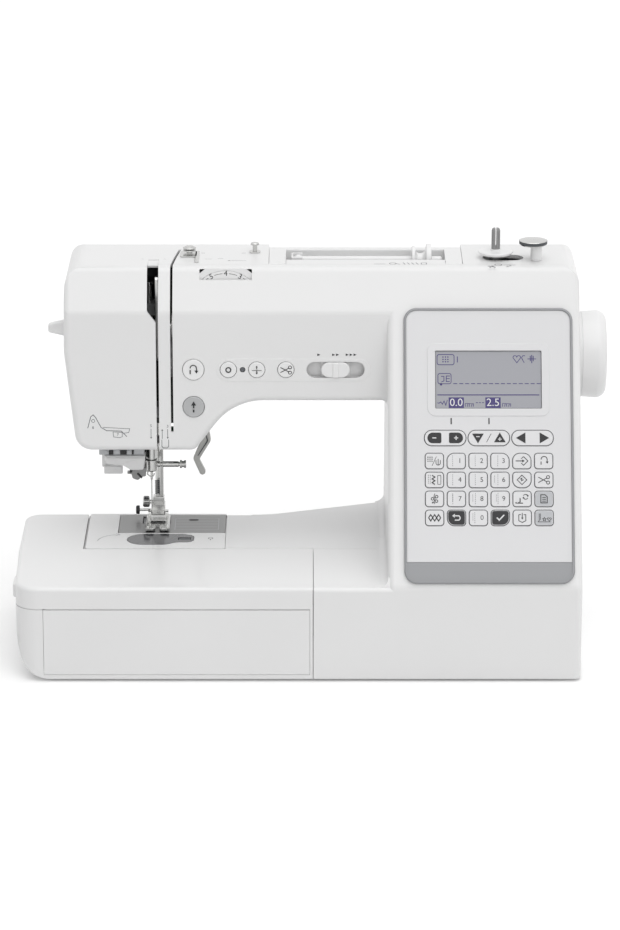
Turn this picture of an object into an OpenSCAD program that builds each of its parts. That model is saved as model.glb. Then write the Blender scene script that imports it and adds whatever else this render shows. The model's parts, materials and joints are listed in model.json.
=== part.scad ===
// Computerised household sewing machine with a free arm, a flat-bed attachment
// and a drop-in bobbin.  Millimetres, +X to the handwheel, +Y to the back, +Z up.
// The origin is the middle of the footprint, on the table.

/* [Overall] */
// Length of the body, from the left end of the bed to the right side wall
body_l = 391.5; // [385:0.5:400]
// Depth of the base, front to back
body_d = 195; // [188:1:202]
// Distance the handwheel stands out of the right side
wheel_out = 21.5; // [18:0.5:26]
// Height of the bed above the table
bed_h = 68; // [65:0.5:72]
// Clear height between the bed and the underside of the arm
harp_h = 107.5; // [102:0.5:112]
// Height of the arm, from its underside to its flat top
arm_h = 93; // [90:0.5:98]
// Wall thickness of the plastic covers
wall = 2.5; // [2:0.1:3]
// Height of the rubber feet below the covers
foot_out = 2; // [1.5:0.5:4]

/* [Arm, head and column] */
// Distance from the front of the base back to the front face of the arm
arm_setback = 85.5; // [80:0.5:90]
// Depth of the arm
arm_d = 92; // [88:1:94]
// Height of the sloping band above the front face of the arm
facet_h = 29.1; // [25:0.1:32]
// Distance from the left end of the bed to the head
head_inset = 34; // [30:1:38]
// Width of the head at its underside
head_w = 90.5; // [88:0.5:96]
// Distance from the underside of the arm down to the underside of the head
head_drop = 36; // [32:0.5:38]
// Width of the column
column_w = 133; // [130:1:136]
// Distance from the front of the arm back to the seam of the front and rear covers
seam_back = 22; // [18:1:24]

/* [Bed] */
// Length of the flat-bed attachment, left end to seam
attachment_l = 207.4; // [205:0.2:211]
// Distance from the needle to the left end of the free arm
free_arm_in = 46.3; // [45:0.1:48]
// Width of the free arm
free_arm_w = 80; // [78:0.5:83]
// Clear height under the free arm
free_arm_clear = 24; // [20:0.5:25]
// Height of the accessory door's top edge
door_h = 52; // [46:0.5:54]

/* [Panel] */
// Width of the operation panel
panel_w = 116.6; // [114:0.1:119]
// Length of the panel along the slope
panel_l = 192; // [188:0.5:194]
// Gap between the panel's frame and the right side wall
panel_margin = 5.4; // [5:0.1:7]
// Width of a key
key_w = 12.1; // [11.4:0.1:12.6]
// Height of a key
key_l = 10.3; // [9.8:0.1:11]
// Distance between the key columns
key_pitch_x = 15; // [14.4:0.1:15.4]
// Distance between the key rows
key_pitch_y = 13.15; // [12.8:0.05:13.6]
// Distance of the top key row below the panel's upper edge
key_drop = 107.1; // [105:0.1:109]
// Width of the display's glass
display_w = 72.7; // [68:0.1:76]
// Height of the display's glass
display_l = 40; // [37:0.5:42]

/* [Drive] */
// Distance of the upper shaft below the flat top
shaft_drop = 73; // [70:0.5:76]
// Radius of the upper shaft
shaft_r = 5; // [4.5:0.1:5.5]
// Radius of the handwheel
wheel_r = 31; // [28:0.5:33]
// Radius of the crank that drives the needle bar
crank_r = 15; // [13:0.5:16]
// Radius of the lower shaft
lower_shaft_r = 4; // [3.5:0.1:4.5]
// Radius of the timing belt pulleys
timing_r = 13; // [12:0.5:14]
// Radius of the pulley driven by the motor
drive_r = 24; // [22:0.5:25]
// Radius of the motor's own pulley
motor_pulley_r = 6; // [5:0.5:8]
// Radius of the motor's can
motor_r = 24; // [22:0.5:25]
// Radial running clearance of shafts in their bushes
run_fit = 0.05; // [0.02:0.01:0.1]

/* [Needle and foot] */
// Distance of the needle from the head's left face
needle_in = 58; // [57:0.5:59.5]
// Distance of the needle behind the arm's front face
needle_back = 52; // [50:0.5:54]
// Radius of the needle bar
needle_bar_r = 3.2; // [3:0.1:3.5]
// Distance of the presser bar behind the needle bar
presser_back = 15; // [14:0.5:17]
// Distance of the presser bar to the right of the needle bar
presser_right = 5; // [4.5:0.1:5.4]
// Radius of the presser bar
presser_bar_r = 3; // [2.8:0.1:3.3]
// Radius of the rotary hook
hook_r = 22.5; // [21:0.5:23]
// Radius of a bobbin
bobbin_r = 10.25; // [9.8:0.05:10.6]
// Height of a bobbin
bobbin_h = 11.5; // [10.5:0.1:12]

/* [Fits] */
// Gap around a sliding or lift-off piece
slide_gap = 0.3; // [0.25:0.05:0.4]
// Gap around a button
button_gap = 0.35; // [0.3:0.05:0.5]

/* [Hidden] */
$fn = 64;
arc_step = 15;

// ---- places worked out from the sizes above
x_left = -(body_l + wheel_out) / 2;
x_right = x_left + body_l;
y_front = -body_d / 2;
y_back = body_d / 2;
y_arm = y_front + arm_setback;
y_arm_back = y_arm + arm_d;
y_seam = y_arm + seam_back;
z_arm = bed_h + harp_h;
z_top = z_arm + arm_h;
z_head = z_arm - head_drop;
z_crease = z_top - facet_h;
tilt = atan(arm_setback / (z_crease - bed_h));
y_top = y_arm + facet_h * tan(tilt);
x_head = x_left + head_inset;
x_head_right = x_head + head_w;
x_column = x_right - column_w;
x_seam = x_left + attachment_l;
y_free = y_arm - 1.5;
y_free_back = y_free + free_arm_w;
x_needle = x_head + needle_in;
x_free = x_needle - free_arm_in;
y_needle = y_arm + needle_back;
z_shaft = z_top - shaft_drop;

// ---- outlines with rounded corners: each corner is [x, y, radius], anticlockwise
function flat(c) = [c[0], c[1]];
function unit(v) = v / norm(v);
function left_of(v) = [-v[1], v[0]];
function cross2(u, v) = u[0] * v[1] - u[1] * v[0];
function wrap(i, n) = (i + n) % n;

function corner_arc(a, b, c, r) =
    let (u = unit(a - b), v = unit(c - b), half = acos(u * v) / 2)
    r <= 0 || half > 89.5 ? [b] :
    let (
        centre = b + unit(u + v) * r / sin(half),
        from = b + u * r / tan(half) - centre,
        turn = (cross2(-u, v) > 0 ? 1 : -1) * (180 - 2 * half),
        steps = max(2, ceil(abs(turn) / arc_step))
    )
    [for (i = [0 : steps]) let (t = turn * i / steps)
        centre + [from[0] * cos(t) - from[1] * sin(t), from[0] * sin(t) + from[1] * cos(t)]];

function rounded(p) = let (n = len(p))
    [for (i = [0 : n - 1]) each corner_arc(flat(p[wrap(i - 1, n)]), flat(p[i]), flat(p[wrap(i + 1, n)]), p[i][2])];

// The same outline moved inwards by t, with its radii to match
function inset(p, t) = let (n = len(p))
    [for (i = [0 : n - 1]) let (
        u = unit(flat(p[i]) - flat(p[wrap(i - 1, n)])),
        v = unit(flat(p[wrap(i + 1, n)]) - flat(p[i])),
        nu = left_of(u),
        nv = left_of(v),
        at = flat(p[i]) + (nu + nv) * t / (1 + nu * nv),
        r = p[i][2] <= 0 ? 0 : max(0, p[i][2] - t * (cross2(u, v) > 0 ? 1 : -1))
    ) [at[0], at[1], r]];

function box_outline(x0, y0, x1, y1, r) = [[x0, y0, r], [x1, y0, r], [x1, y1, r], [x0, y1, r]];

module outline(p) polygon(rounded(p));
module along_x(x0, x1) translate([x0, 0, 0]) rotate([90, 0, 90]) linear_extrude(x1 - x0) children();
module along_y(y0, y1) translate([0, y1, 0]) rotate([90, 0, 0]) linear_extrude(y1 - y0) children();
module along_z(z0, z1) translate([0, 0, z0]) linear_extrude(z1 - z0) children();
module block(low, high) translate(low) cube(high - low);
module rod_x(y, z, r, x0, x1) translate([x0, y, z]) rotate([0, 90, 0]) cylinder(h = x1 - x0, r = r);
module rod_y(x, z, r, y0, y1) translate([x, y0, z]) rotate([-90, 0, 0]) cylinder(h = y1 - y0, r = r);
module rod_z(x, y, r, z0, z1) translate([x, y, z0]) cylinder(h = z1 - z0, r = r);
// Slope of the panel: x to the right, y up the slope from the crease, z out of it
module on_slope() translate([0, y_arm, z_crease]) rotate([90 - tilt, 0, 0]) children();

// ---- outer forms
arm_side = [
    [y_arm, z_head, 3],
    [y_arm_back, z_head, 8],
    [y_arm_back, z_top, 16],
    [y_top, z_top, 3],
    [y_arm, z_crease, 8]
];
arm_front = [
    [x_head + 8, z_head, 12],
    [x_head_right, z_head, 4],
    [x_head_right + head_drop * 0.764, z_arm, 42],
    [x_column + 4 * wall, z_arm, 0],
    [x_column + 4 * wall, z_top, 0],
    [x_head + 1, z_top, 14],
    [x_head, z_head + 0.55 * (z_top - z_head), 60]
];
column_side = [
    [y_front, bed_h, 0],
    [y_back, bed_h, 0],
    [y_arm_back, z_arm, 60],
    [y_arm_back, z_top, 16],
    [y_top, z_top, 3]
];
column_front = [
    [x_column, bed_h, 0],
    [x_right, bed_h, 0],
    [x_right, z_top, 12],
    [x_column, z_top, 0]
];
base_plan = [
    [x_seam, y_front, 1],
    [x_right, y_front, 3],
    [x_right, y_back, 8],
    [x_column, y_back, 40],
    [x_seam - 33, y_free_back, 60],
    [x_seam - 46, y_free_back, 0],
    [x_seam - 46, y_free_back - 12, 0],
    [x_seam, y_free_back - 12, 0]
];

module upper_form(t = 0) {
    intersection() {
        along_x(x_head - 1, x_column + 4 * wall + 1) outline(inset(arm_side, t));
        along_y(y_arm - 1, y_arm_back + 1) outline(inset(arm_front, t));
    }
    column_form(t);
}
module column_form(t) intersection() {
    along_x(x_column, x_right) outline(inset(column_side, t));
    along_y(y_front, y_back) outline(inset(column_front, t));
}

// ---- the free arm and the base below the column
free_side = box_outline(y_free, free_arm_clear, y_free_back, bed_h, 5);
base_z0 = foot_out;
pan_floor = base_z0 + wall;
pan_top = base_z0 + 5;
step_x1 = x_seam + wall + slide_gap;
step_y0 = y_free + 3;
step_y1 = y_free_back - 14;

module base_form(t = 0) along_z(base_z0 - (t > 0 ? 1 : 0), bed_h - t) outline(inset(base_plan, t));
module free_form(t = 0) along_x(x_free + t, x_seam + 20) outline(inset(free_side, t));
// Passage from the base up into the column
module column_passage() block(
    [x_column + wall, y_front + 2 * wall, bed_h - wall - 1],
    [x_right - wall, y_back - 2 * wall, bed_h + wall + 1]
);
module everywhere_behind(y) block([-500, y, -50], [500, 500, 500]);
module everywhere_before(y) block([-500, -500, -50], [500, y, 500]);
module everywhere_left(x) block([-500, -500, -50], [x, 500, 500]);
module everywhere_right(x) block([x, -500, -50], [500, 500, 500]);

// ---- threading slots in the head
slot_x0 = x_needle + 6.1;
slot_w = 1.8;
slot_wide = 6;
slot_x1 = slot_x0 + slot_w;
slot_top_y = y_arm + 42;
strip_w = 8.2;
tension_slot_x = slot_x1 + strip_w;
tension_slot_w = 1.7;
tension_slot_y = y_arm + 50;
slot_z_bottom = z_head + 14;

module take_up_slot() {
    // wide at the top, narrow below, and over onto the flat top
    along_y(y_arm - 5, slot_top_y) polygon([
        [slot_x0 - slot_wide, z_top + 1], [slot_x0 - slot_wide, z_crease + 1],
        [slot_x0, z_crease - 7], [slot_x0, z_crease - 20], [slot_x1, z_crease - 20], [slot_x1, z_top + 1]
    ]);
    block([slot_x0, y_arm - 5, z_head - 5], [slot_x1, y_arm + 12, z_crease]);
}
module tension_slot() difference() {
    block([tension_slot_x, y_arm - 5, slot_z_bottom], [tension_slot_x + tension_slot_w, tension_slot_y, z_top + 1]);
    block([tension_slot_x - 1, y_arm + 12, 0], [tension_slot_x + tension_slot_w + 1, tension_slot_y + 1, z_top - 12]);
}

// ---- opening under the head, for the bars, the threader and the foot lever
under_x0 = x_head + 16;
under_x1 = x_head_right - 2;
under_y0 = y_arm + 30;
under_y1 = y_arm + 83;
lever_y = y_arm + 73;
lever_t = 5;
lever_pivot_x = x_head_right - 1;
lever_pivot_z = z_head + 15;
module under_opening() {
    block([under_x0, under_y0, z_head - 5], [under_x1, under_y1, z_head + 2 * wall]);
    block([under_x1 - 12, lever_y - 3, z_head - 5], [x_head_right + 26, lever_y + lever_t + 3, z_head + 24]);
}

// ---- carrying handle and spool recess in the top
recess_x0 = x_head + 142.2;
recess_l = 135;
recess_x1 = recess_x0 + recess_l;
handle_w = 11.6;
handle_t = 12;
handle_y0 = y_seam + 1.5;
handle_y1 = y_arm + 78;
grip_d = 13;
spool_y0 = y_arm + 34.5;
recess_z = z_top - 16;
spool_y = y_arm + 52;
spool_z = z_top - 4.5;

module recess_hollow() {
    for (x = [recess_x0, recess_x1 - handle_w - 2 * slide_gap])
        block([x, handle_y0 - slide_gap, recess_z], [x + handle_w + 2 * slide_gap, y_arm_back + 5, z_top + 5]);
    block([recess_x0, spool_y0, recess_z], [recess_x1, y_arm_back + 5, z_top + 5]);
}
module recess_walls() intersection() {
    upper_form();
    block([recess_x0 - wall, handle_y0 - slide_gap - 1, recess_z - wall], [recess_x1 + wall, y_arm_back + 5, z_top + 5]);
}

// ---- bobbin winder
winder_x = x_right - 57;
winder_y = y_arm + 39.5;
winder_r = 3.05;
winder_hole_r = 14;
winder_stop_x = winder_x + 28;
winder_stop_y = winder_y - 5.5;

// ---- threader lever on the left face
threader_y = y_arm + 42;
threader_z = z_head + 78;
threader_travel = 42;
threader_slot_w = 6;
module threader_slot() block(
    [x_head - 5, threader_y - threader_slot_w / 2, threader_z - 7 - threader_travel - 1],
    [x_head + 9, threader_y + threader_slot_w / 2, threader_z + 8]
);

// ---- buttons on the arm's front face
button_z = z_arm + 23.3;
start_z = z_arm - 3.6;
big_button_x = x_head_right - 0.5;
big_button_r = 7.4;
small_button_r = 5.6;
reinforce_x = big_button_x + 24.3;
light_x = big_button_x + 34.2;
needle_button_x = big_button_x + 44;
cutter_x = big_button_x + 64.2;
light_r = 1.6;
button_proud = 1;
button_depth = 6.5;
speed_x = big_button_x + 98.7;
speed_w = 40.3;
speed_h = 11.4;
speed_knob_w = 19.8;

module button(x, z, r) rod_y(x, z, r, y_arm - button_proud, y_arm + button_depth);
module button_hole(x, z, r) rod_y(x, z, r + button_gap, y_arm - 5, y_arm + 2 * wall);

// ---- tension dial
dial_x = x_head_right + 22.1;
dial_r = 26;
dial_t = 7;
dial_y = y_arm + 13.5;
dial_z = z_top - dial_r - 2;
dial_window_w = 35.5;
dial_window_h = 8.6;
module dial_window() block(
    [dial_x - dial_window_w / 2, y_arm - 3, z_top - 1.4 - dial_window_h],
    [dial_x + dial_window_w / 2, dial_y + dial_t + 0.8, z_top - 1.4]
);

// ---- operation panel, in the slope's own axes (x, distance below the crease, height)
panel_x1 = x_right - panel_margin;
panel_x0 = panel_x1 - panel_w;
panel_x = (panel_x0 + panel_x1) / 2;
panel_up = 3.3;
panel_r = 9;
rim = 2;
band_h = 13;
plate_t = 2;
key_proud = 1;
key_under = 3.3;
row_y = panel_up - key_drop;
rocker_y = row_y + 16;
rocker_w = 28.1;
display_y = -47;
display_frame = 7;
function key_x(column) = panel_x + (column - 2.5) * key_pitch_x;
function key_y(row) = row_y - row * key_pitch_y;
panel_outline = box_outline(panel_x0, panel_up - panel_l, panel_x1, panel_up, panel_r);
panel_inner = inset(panel_outline, rim);
band_y = panel_up - panel_l + rim + band_h;

module key_block(column, row, grow = 0, low = -key_under, high = plate_t + key_proud)
    translate([key_x(column), key_y(row), 0]) along_z(low, high)
        outline(box_outline(-key_w / 2 - grow, -key_l / 2 - grow, key_w / 2 + grow, key_l / 2 + grow, 2 + grow));
module rocker_block(place, grow = 0, low = -key_under, high = plate_t + key_proud)
    translate([panel_x + (place - 1) * 2 * key_pitch_x, rocker_y, 0]) along_z(low, high)
        outline(box_outline(-rocker_w / 2 - grow, -key_l / 2 - grow, rocker_w / 2 + grow, key_l / 2 + grow, 4 + grow));

stitch_keys_at = [for (row = [0 : 3]) [0, row]];
number_keys_at = [for (row = [0 : 3], column = [1 : 3]) [column, row]];
function_keys_at = [for (row = [0 : 3], column = [4, 5]) [column, row]];

module key_set(places) on_slope() for (p = places) key_block(p[0], p[1]);

// ================= covers
module base_pan() color("gainsboro") {
    difference() {
        along_z(base_z0, pan_top) outline(inset(base_plan, wall + slide_gap));
        along_z(pan_floor, pan_top + 1) outline(inset(base_plan, 3 * wall));
        block([-500, -500, -5], [step_x1, 500, 50]);
    }
    // low step that steadies the left end, below the free arm
    along_z(base_z0, pan_top) outline(box_outline(x_free + 3, step_y0, step_x1 + 6, step_y1, 4));
}

hook_x = x_needle + 2.5;
plate_x1 = x_needle + 53;
plate_in = 1;
plate_t2 = 2;
module plate_seat(gap = 0) along_z(bed_h - plate_t2, bed_h + 1)
    outline(box_outline(x_free + plate_in - gap, y_free + plate_in - gap, plate_x1 + gap, y_free_back - plate_in + gap, 2));

module bed_cover() color("white") difference() {
    union() {
        intersection() {
            base_form();
            everywhere_behind(y_free);
        }
        free_form();
    }
    difference() {
        base_form(wall);
        everywhere_left(x_seam + wall);
    }
    free_form(wall);
    block([x_seam + wall, y_free - 1, base_z0 - 1], [x_right - wall, y_free + 1, bed_h - wall]);
    // way through the left wall for the low step, and the hollow of the flare behind it
    block([x_seam - 1, step_y0 - slide_gap, base_z0 - 1], [x_seam + 3 * wall, step_y1 + slide_gap, pan_top + slide_gap]);
    block([x_seam - 40, y_free_back - 12 + wall, base_z0 - 1], [x_seam, y_free_back - wall, free_arm_clear]);
    column_passage();
    plate_seat(slide_gap);
    // well for the hook and the feed dog
    block([x_free + 4 * wall, y_free + 2 * wall, bed_h - 2 * wall], [plate_x1 - 2 * wall, y_free_back - 2 * wall, bed_h + 1]);
    socket_holes();
    drop_slot();
}

module front_cover() color("white") difference() {
    union() {
        intersection() {
            difference() {
                upper_form();
                upper_form(wall);
            }
            everywhere_before(y_seam);
            everywhere_right(slot_x0);
        }
        intersection() {
            difference() {
                base_form();
                base_form(wall);
                block([x_seam - 1, y_free - wall, -5], [x_right - wall, y_free + 1, bed_h - wall]);
            }
            everywhere_before(y_free);
        }
    }
    column_passage();
    take_up_slot();
    tension_slot();
    under_opening();
    dial_window();
    button_hole(big_button_x, button_z, big_button_r);
    button_hole(big_button_x, start_z, big_button_r);
    for (x = [reinforce_x, needle_button_x, cutter_x]) button_hole(x, button_z, small_button_r);
    button_hole(light_x, button_z, light_r);
    block([speed_x - speed_w / 2, y_arm - 5, button_z - speed_h / 2], [speed_x + speed_w / 2, y_arm + 2 * wall, button_z + speed_h / 2]);
    on_slope() along_z(-3 * wall, 5) outline(inset(panel_outline, rim + 0.5));
}

module face_cover() color("white") difference() {
    intersection() {
        difference() {
            upper_form();
            upper_form(wall);
        }
        everywhere_left(slot_x0);
    }
    take_up_slot();
    under_opening();
    threader_slot();
}

module rear_shell() difference() {
    union() {
        intersection() {
            difference() {
                upper_form();
                upper_form(wall);
            }
            everywhere_behind(y_seam);
            everywhere_right(slot_x0);
        }
        recess_walls();
    }
    column_passage();
    take_up_slot();
    tension_slot();
    under_opening();
    recess_hollow();
    rod_z(winder_x + 5, winder_y, winder_hole_r, z_top - 3 * wall, z_top + 1);
    rod_z(winder_stop_x, winder_stop_y, 3, z_top - 3 * wall, z_top + 1);
    rod_x(y_needle, z_shaft, shaft_r + 2, x_right - 2 * wall, x_right + 1);
    // air slots low on the back of the column
    for (i = [0 : 6]) block([x_column + 28 + i * 11, y_back - 30, bed_h + 30], [x_column + 32 + i * 11, y_back + 1, bed_h + 60]);
}

module rear_cover() color("white") {
    rear_shell();
    spool_bracket();
}

// ================= plates
needle_plate_x0 = x_needle - 23.5;
needle_plate_y0 = y_needle - 17.5;
needle_plate_y1 = y_needle + 23;
needle_slot_w = 9;
foot_x = x_needle + 2.9;
bobbin_cover_w = 47;
bobbin_cover_x0 = hook_x - 19;
bobbin_cover_y0 = y_needle - 44;
bobbin_cover_x1 = bobbin_cover_x0 + bobbin_cover_w;
bobbin_cover_y1 = y_needle - 20;
bobbin_cover_t = 1.2;
bobbin_ledge = 1.5;
feed_y0 = y_needle + 4;
feed_l = 15;
feed_gap = 0.6;
feed_w = 3.4;
feed_lanes = [-7.6, 0, 7.6];
plate_r = 1.5;
needle_plate_t = 1.6;

module feed_lane(lane, grow, z0, z1) block(
    [foot_x + lane - feed_w / 2 - grow, feed_y0 - grow, z0],
    [foot_x + lane + feed_w / 2 + grow, feed_y0 + feed_l + grow, z1]
);

module bobbin_cover_outline(grow, z0, z1) along_z(z0, z1) outline(box_outline(
    bobbin_cover_x0 - grow, bobbin_cover_y0 - grow, bobbin_cover_x1 + grow, bobbin_cover_y1 + grow, 4.7 + grow));

module plate_cover() color("whitesmoke") difference() {
    plate_seat();
    block([needle_plate_x0 - slide_gap, needle_plate_y0 - slide_gap, bed_h - 5], [plate_x1 + 1, needle_plate_y1 + slide_gap, bed_h + 2]);
    bobbin_cover_outline(slide_gap, bed_h - bobbin_cover_t - slide_gap, bed_h + 2);
    bobbin_cover_outline(-bobbin_ledge, bed_h - 5, bed_h);
    block([x_free - 1, y_free - 1, bed_h], [plate_x1 + 1, y_free_back + 1, bed_h + 5]);
}

module needle_plate() color("silver") difference() {
    along_z(bed_h - needle_plate_t, bed_h) outline(box_outline(needle_plate_x0, needle_plate_y0, plate_x1 - 0.5, needle_plate_y1, plate_r));
    block([x_needle - 1.2, y_needle - 1, bed_h - 5], [x_needle - 1.2 + needle_slot_w, y_needle + 1, bed_h + 5]);
    for (lane = feed_lanes) feed_lane(lane, feed_gap, bed_h - 5, bed_h + 5);
}

module bobbin_lid() difference() {
    bobbin_cover_outline(0, bed_h - bobbin_cover_t, bed_h);
    block([bobbin_cover_x1 - 11, bobbin_cover_y0 + 14, bed_h - 5], [bobbin_cover_x1 - 2, bobbin_cover_y1 - 5, bed_h + 1]);
}

module bobbin_latch()
    block([bobbin_cover_x1 - 11 + slide_gap, bobbin_cover_y0 + 14 + slide_gap, bed_h - bobbin_cover_t],
        [bobbin_cover_x1 - 1.5, bobbin_cover_y1 - 5 - slide_gap, bed_h - 0.3]);

module bobbin_cover() color([0.8, 0.82, 0.84, 0.6]) {
    bobbin_lid();
    bobbin_latch();
}

module rubber_feet() color("dimgray") for (p = [
        [x_free + 22, y_free + 14], [x_free + 22, y_free_back - 30],
        [x_seam + 20, y_front + 18], [x_right - 18, y_front + 18],
        [x_column + 6, y_back - 22], [x_right - 20, y_back - 22]
    ]) rod_z(p[0], p[1], 7, 0, foot_out);

screw_r = 3.2;
screw_t = 1.2;
module fasteners() color("silver") {
    handle_pins();
    for (x = [x_head + 78, x_column + 12, x_right - 12]) rod_y(x, z_arm + 26, screw_r, y_arm_back, y_arm_back + screw_t);
}

// ================= frame
frame_y = y_arm + 82;
frame_t = 5;
bar_guide_z = z_head + 11;
bar_guide_h = 8;
bar_guide2_z = z_head + 86;
presser_x = x_needle + presser_right;
presser_y = y_needle + presser_back;
threader_x = x_needle - 25.5;
threader_rod_y = y_arm + 47;
threader_rod_r = 2;
buttonhole_x = x_needle - 33;
buttonhole_y = y_arm + 58;
bush_w = 8;
bush_wall = 3;
bush_places = [x_needle + 30, x_column - 2, x_right - 25];
low_bush_places = [x_seam - 60, x_column + 2];
link_t = 4;
crank_t = 6;
link_x = x_needle + 11.5;
crank_x = link_x + link_t + 1;
hook_y = y_free + wall + hook_r + 1;
hook_gear_r = 8;
low_gear_r = 8.5;
mesh_gap = 0.3;
y_low = hook_y + hook_gear_r + low_gear_r + mesh_gap;
z_low = free_arm_clear + wall + 10;
hook_z0 = bed_h - 21;
hook_z1 = bed_h - 7;
beam_y0 = y_needle + 10;
beam_z0 = free_arm_clear + wall + 1;
beam_z1 = bed_h - 14;
timing_x = x_column + 15;
timing_w = 8;
belt_t = 1.6;
drive_x = timing_x + timing_w + 10;
drive_w = 6;
motor_x0 = drive_x + drive_w + 5;
motor_l = 50;
motor_y = y_arm + 42;
motor_z = bed_h + 40;
lever_axis_y = y_arm + 34;
lever_axis_z = z_head + 61;

module frame_plate() {
    block([x_head + 22, frame_y, z_arm + 8], [x_right - 15, frame_y + frame_t, z_top - 20]);
    block([x_head + 22, frame_y, z_head + 9], [x_head + 76, frame_y + frame_t, z_top - 20]);
    block([x_column + 46, frame_y, pan_floor], [x_right - 20, frame_y + frame_t, z_top - 20]);
    block([x_free + 22, beam_y0, beam_z0 + 16], [x_seam + 4, beam_y0 + 8, beam_z1]);
    for (x = [x_free + 26, plate_x1 - 12]) rod_z(x, beam_y0 + 4, 3, beam_z0 + 17, bed_h - needle_plate_t);
    block([x_seam + 2, beam_y0, beam_z0], [x_right - 20, beam_y0 + 8, beam_z1 - 6]);
    block([x_right - 34, beam_y0, beam_z0], [x_right - 20, frame_y + 1, beam_z1 - 6]);
    for (x = [x_seam + 18, x_right - 27]) rod_z(x, beam_y0 + 4, 4, pan_floor, beam_z0 + 1);
}

module main_frame() color("darkgray") difference() {
    union() {
        frame_plate();
        dial_post();
        winder_rail();
        for (z = [bar_guide_z, bar_guide2_z])
            block([x_needle - 7, y_needle - 7, z], [presser_x + 5, frame_y + 1, z + bar_guide_h]);
        block([x_head + 24, threader_rod_y - 6, bar_guide_z], [x_needle - 6, frame_y + 1, bar_guide_z + bar_guide_h]);
        block([x_head + 8, threader_y + 4.3, threader_z - threader_travel], [x_head + 13, frame_y + frame_t, threader_z + 8]);
        block([x_head + 8, frame_y, threader_z - threader_travel], [x_head + 24, frame_y + frame_t, threader_z + 8]);
        // arm and pin of the take-up lever
        block([x_needle - 13, lever_axis_y - 5, lever_axis_z - 5], [x_needle - 8, frame_y + 1, lever_axis_z + 5]);
        rod_x(lever_axis_y, lever_axis_z, 2.5, x_needle - 10, slot_x1 - 0.2);
        // arms that hold the upper shaft's bushes
        for (x = bush_places) block([x, y_needle - 9, z_shaft - 9], [x + bush_w, frame_y + 1, z_shaft + 9]);
        // pin of the presser foot lever
        block([x_head + 74, frame_y, lever_pivot_z - 1], [lever_pivot_x + 6.5, frame_y + frame_t, z_arm + 10]);
        rod_y(lever_pivot_x, lever_pivot_z, 2, lever_y - 0.5, frame_y + 1);
        // finger that keeps the bobbin case from turning
        block([x_free + 23, case_tab_y1 - 3, case_tab_z0], [hook_x - 4, case_tab_y1, case_tab_z0 + 1.7]);
        block([x_free + 23, case_tab_y1 - 3, case_tab_z0], [x_free + 29, beam_y0 + 5, case_tab_z0 + 1.7]);
        // motor bracket
        block([motor_x0 + motor_l, motor_y - 20, motor_z - 20], [motor_x0 + motor_l + 4, frame_y + 1, motor_z + 20]);
        // arms that hold the lower shaft's bushes
        for (x = low_bush_places) block([x, y_low - 8, z_low - 8], [x + bush_w, beam_y0 + 1, z_low + 8]);
    }
    for (z = [bar_guide_z, bar_guide2_z]) {
        rod_z(x_needle, y_needle, needle_bar_r + run_fit, z - 1, z + bar_guide_h + 1);
        rod_z(presser_x, presser_y, presser_bar_r + run_fit, z - 1, z + bar_guide_h + 1);
    }
    rod_z(threader_x, threader_rod_y, threader_rod_r + run_fit, bar_guide_z - 1, bar_guide_z + bar_guide_h + 1);
    block([buttonhole_x - 3.5 - slide_gap, buttonhole_y - 1.5 - slide_gap, bar_guide_z - 1],
        [buttonhole_x + 3.5 + slide_gap, buttonhole_y + 1.5 + slide_gap, bar_guide_z + bar_guide_h + 1]);
    for (x = bush_places) rod_x(y_needle, z_shaft, shaft_r + bush_wall, x - 1, x + bush_w + 1);
    for (x = low_bush_places) rod_x(y_low, z_low, lower_shaft_r + bush_wall, x - 1, x + bush_w + 1);
    rod_x(motor_y, motor_z, 8, motor_x0 + motor_l - 1, motor_x0 + motor_l + 5);
}

module ring_x(y, z, r_out, r_in, x0, x1) difference() {
    rod_x(y, z, r_out, x0, x1);
    rod_x(y, z, r_in, x0 - 1, x1 + 1);
}

module shaft_bushes() color("goldenrod") {
    for (x = bush_places) ring_x(y_needle, z_shaft, shaft_r + bush_wall, shaft_r + run_fit, x, x + bush_w);
    for (x = low_bush_places) ring_x(y_low, z_low, lower_shaft_r + bush_wall, lower_shaft_r + run_fit, x, x + bush_w);
    difference() {
        rod_z(hook_x, hook_y, 7, free_arm_clear + wall, z_low - 5.2);
        rod_z(hook_x, hook_y, 3 + run_fit, free_arm_clear + wall + 1, z_low - 5);
    }
}

// ================= drive
module handwheel() color("whitesmoke") difference() {
    union() {
        translate([x_right + 1, y_needle, z_shaft]) rotate([0, 90, 0]) rotate_extrude() outline([
            [0, 0, 0], [wheel_r - 1, 0, 1], [wheel_r, wheel_out - 6, 6], [wheel_r - 3, wheel_out - 1, 5], [0, wheel_out - 1, 0]
        ]);
    }
    translate([x_right, y_needle, z_shaft]) rotate([0, 90, 0]) cylinder(h = 9, r = wheel_r - 5);
    rod_x(y_needle, z_shaft, shaft_r, x_right - 1, x_right + 14);
}

module upper_shaft() color("silver") {
    rod_x(y_needle, z_shaft, shaft_r, crank_x - 0.5, x_right + 14);
    rod_x(y_needle, z_shaft, crank_r + 5, crank_x, crank_x + crank_t);
    rod_x(y_needle, z_shaft + crank_r, 2.5, link_x - 0.4, crank_x + 1);
    for (x = [timing_x]) rod_x(y_needle, z_shaft, timing_r, x, x + timing_w);
    rod_x(y_needle, z_shaft, drive_r, drive_x, drive_x + drive_w);
    rod_x(y_needle, z_shaft, 8, x_right + 6.5, x_right + 9);
}

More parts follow.
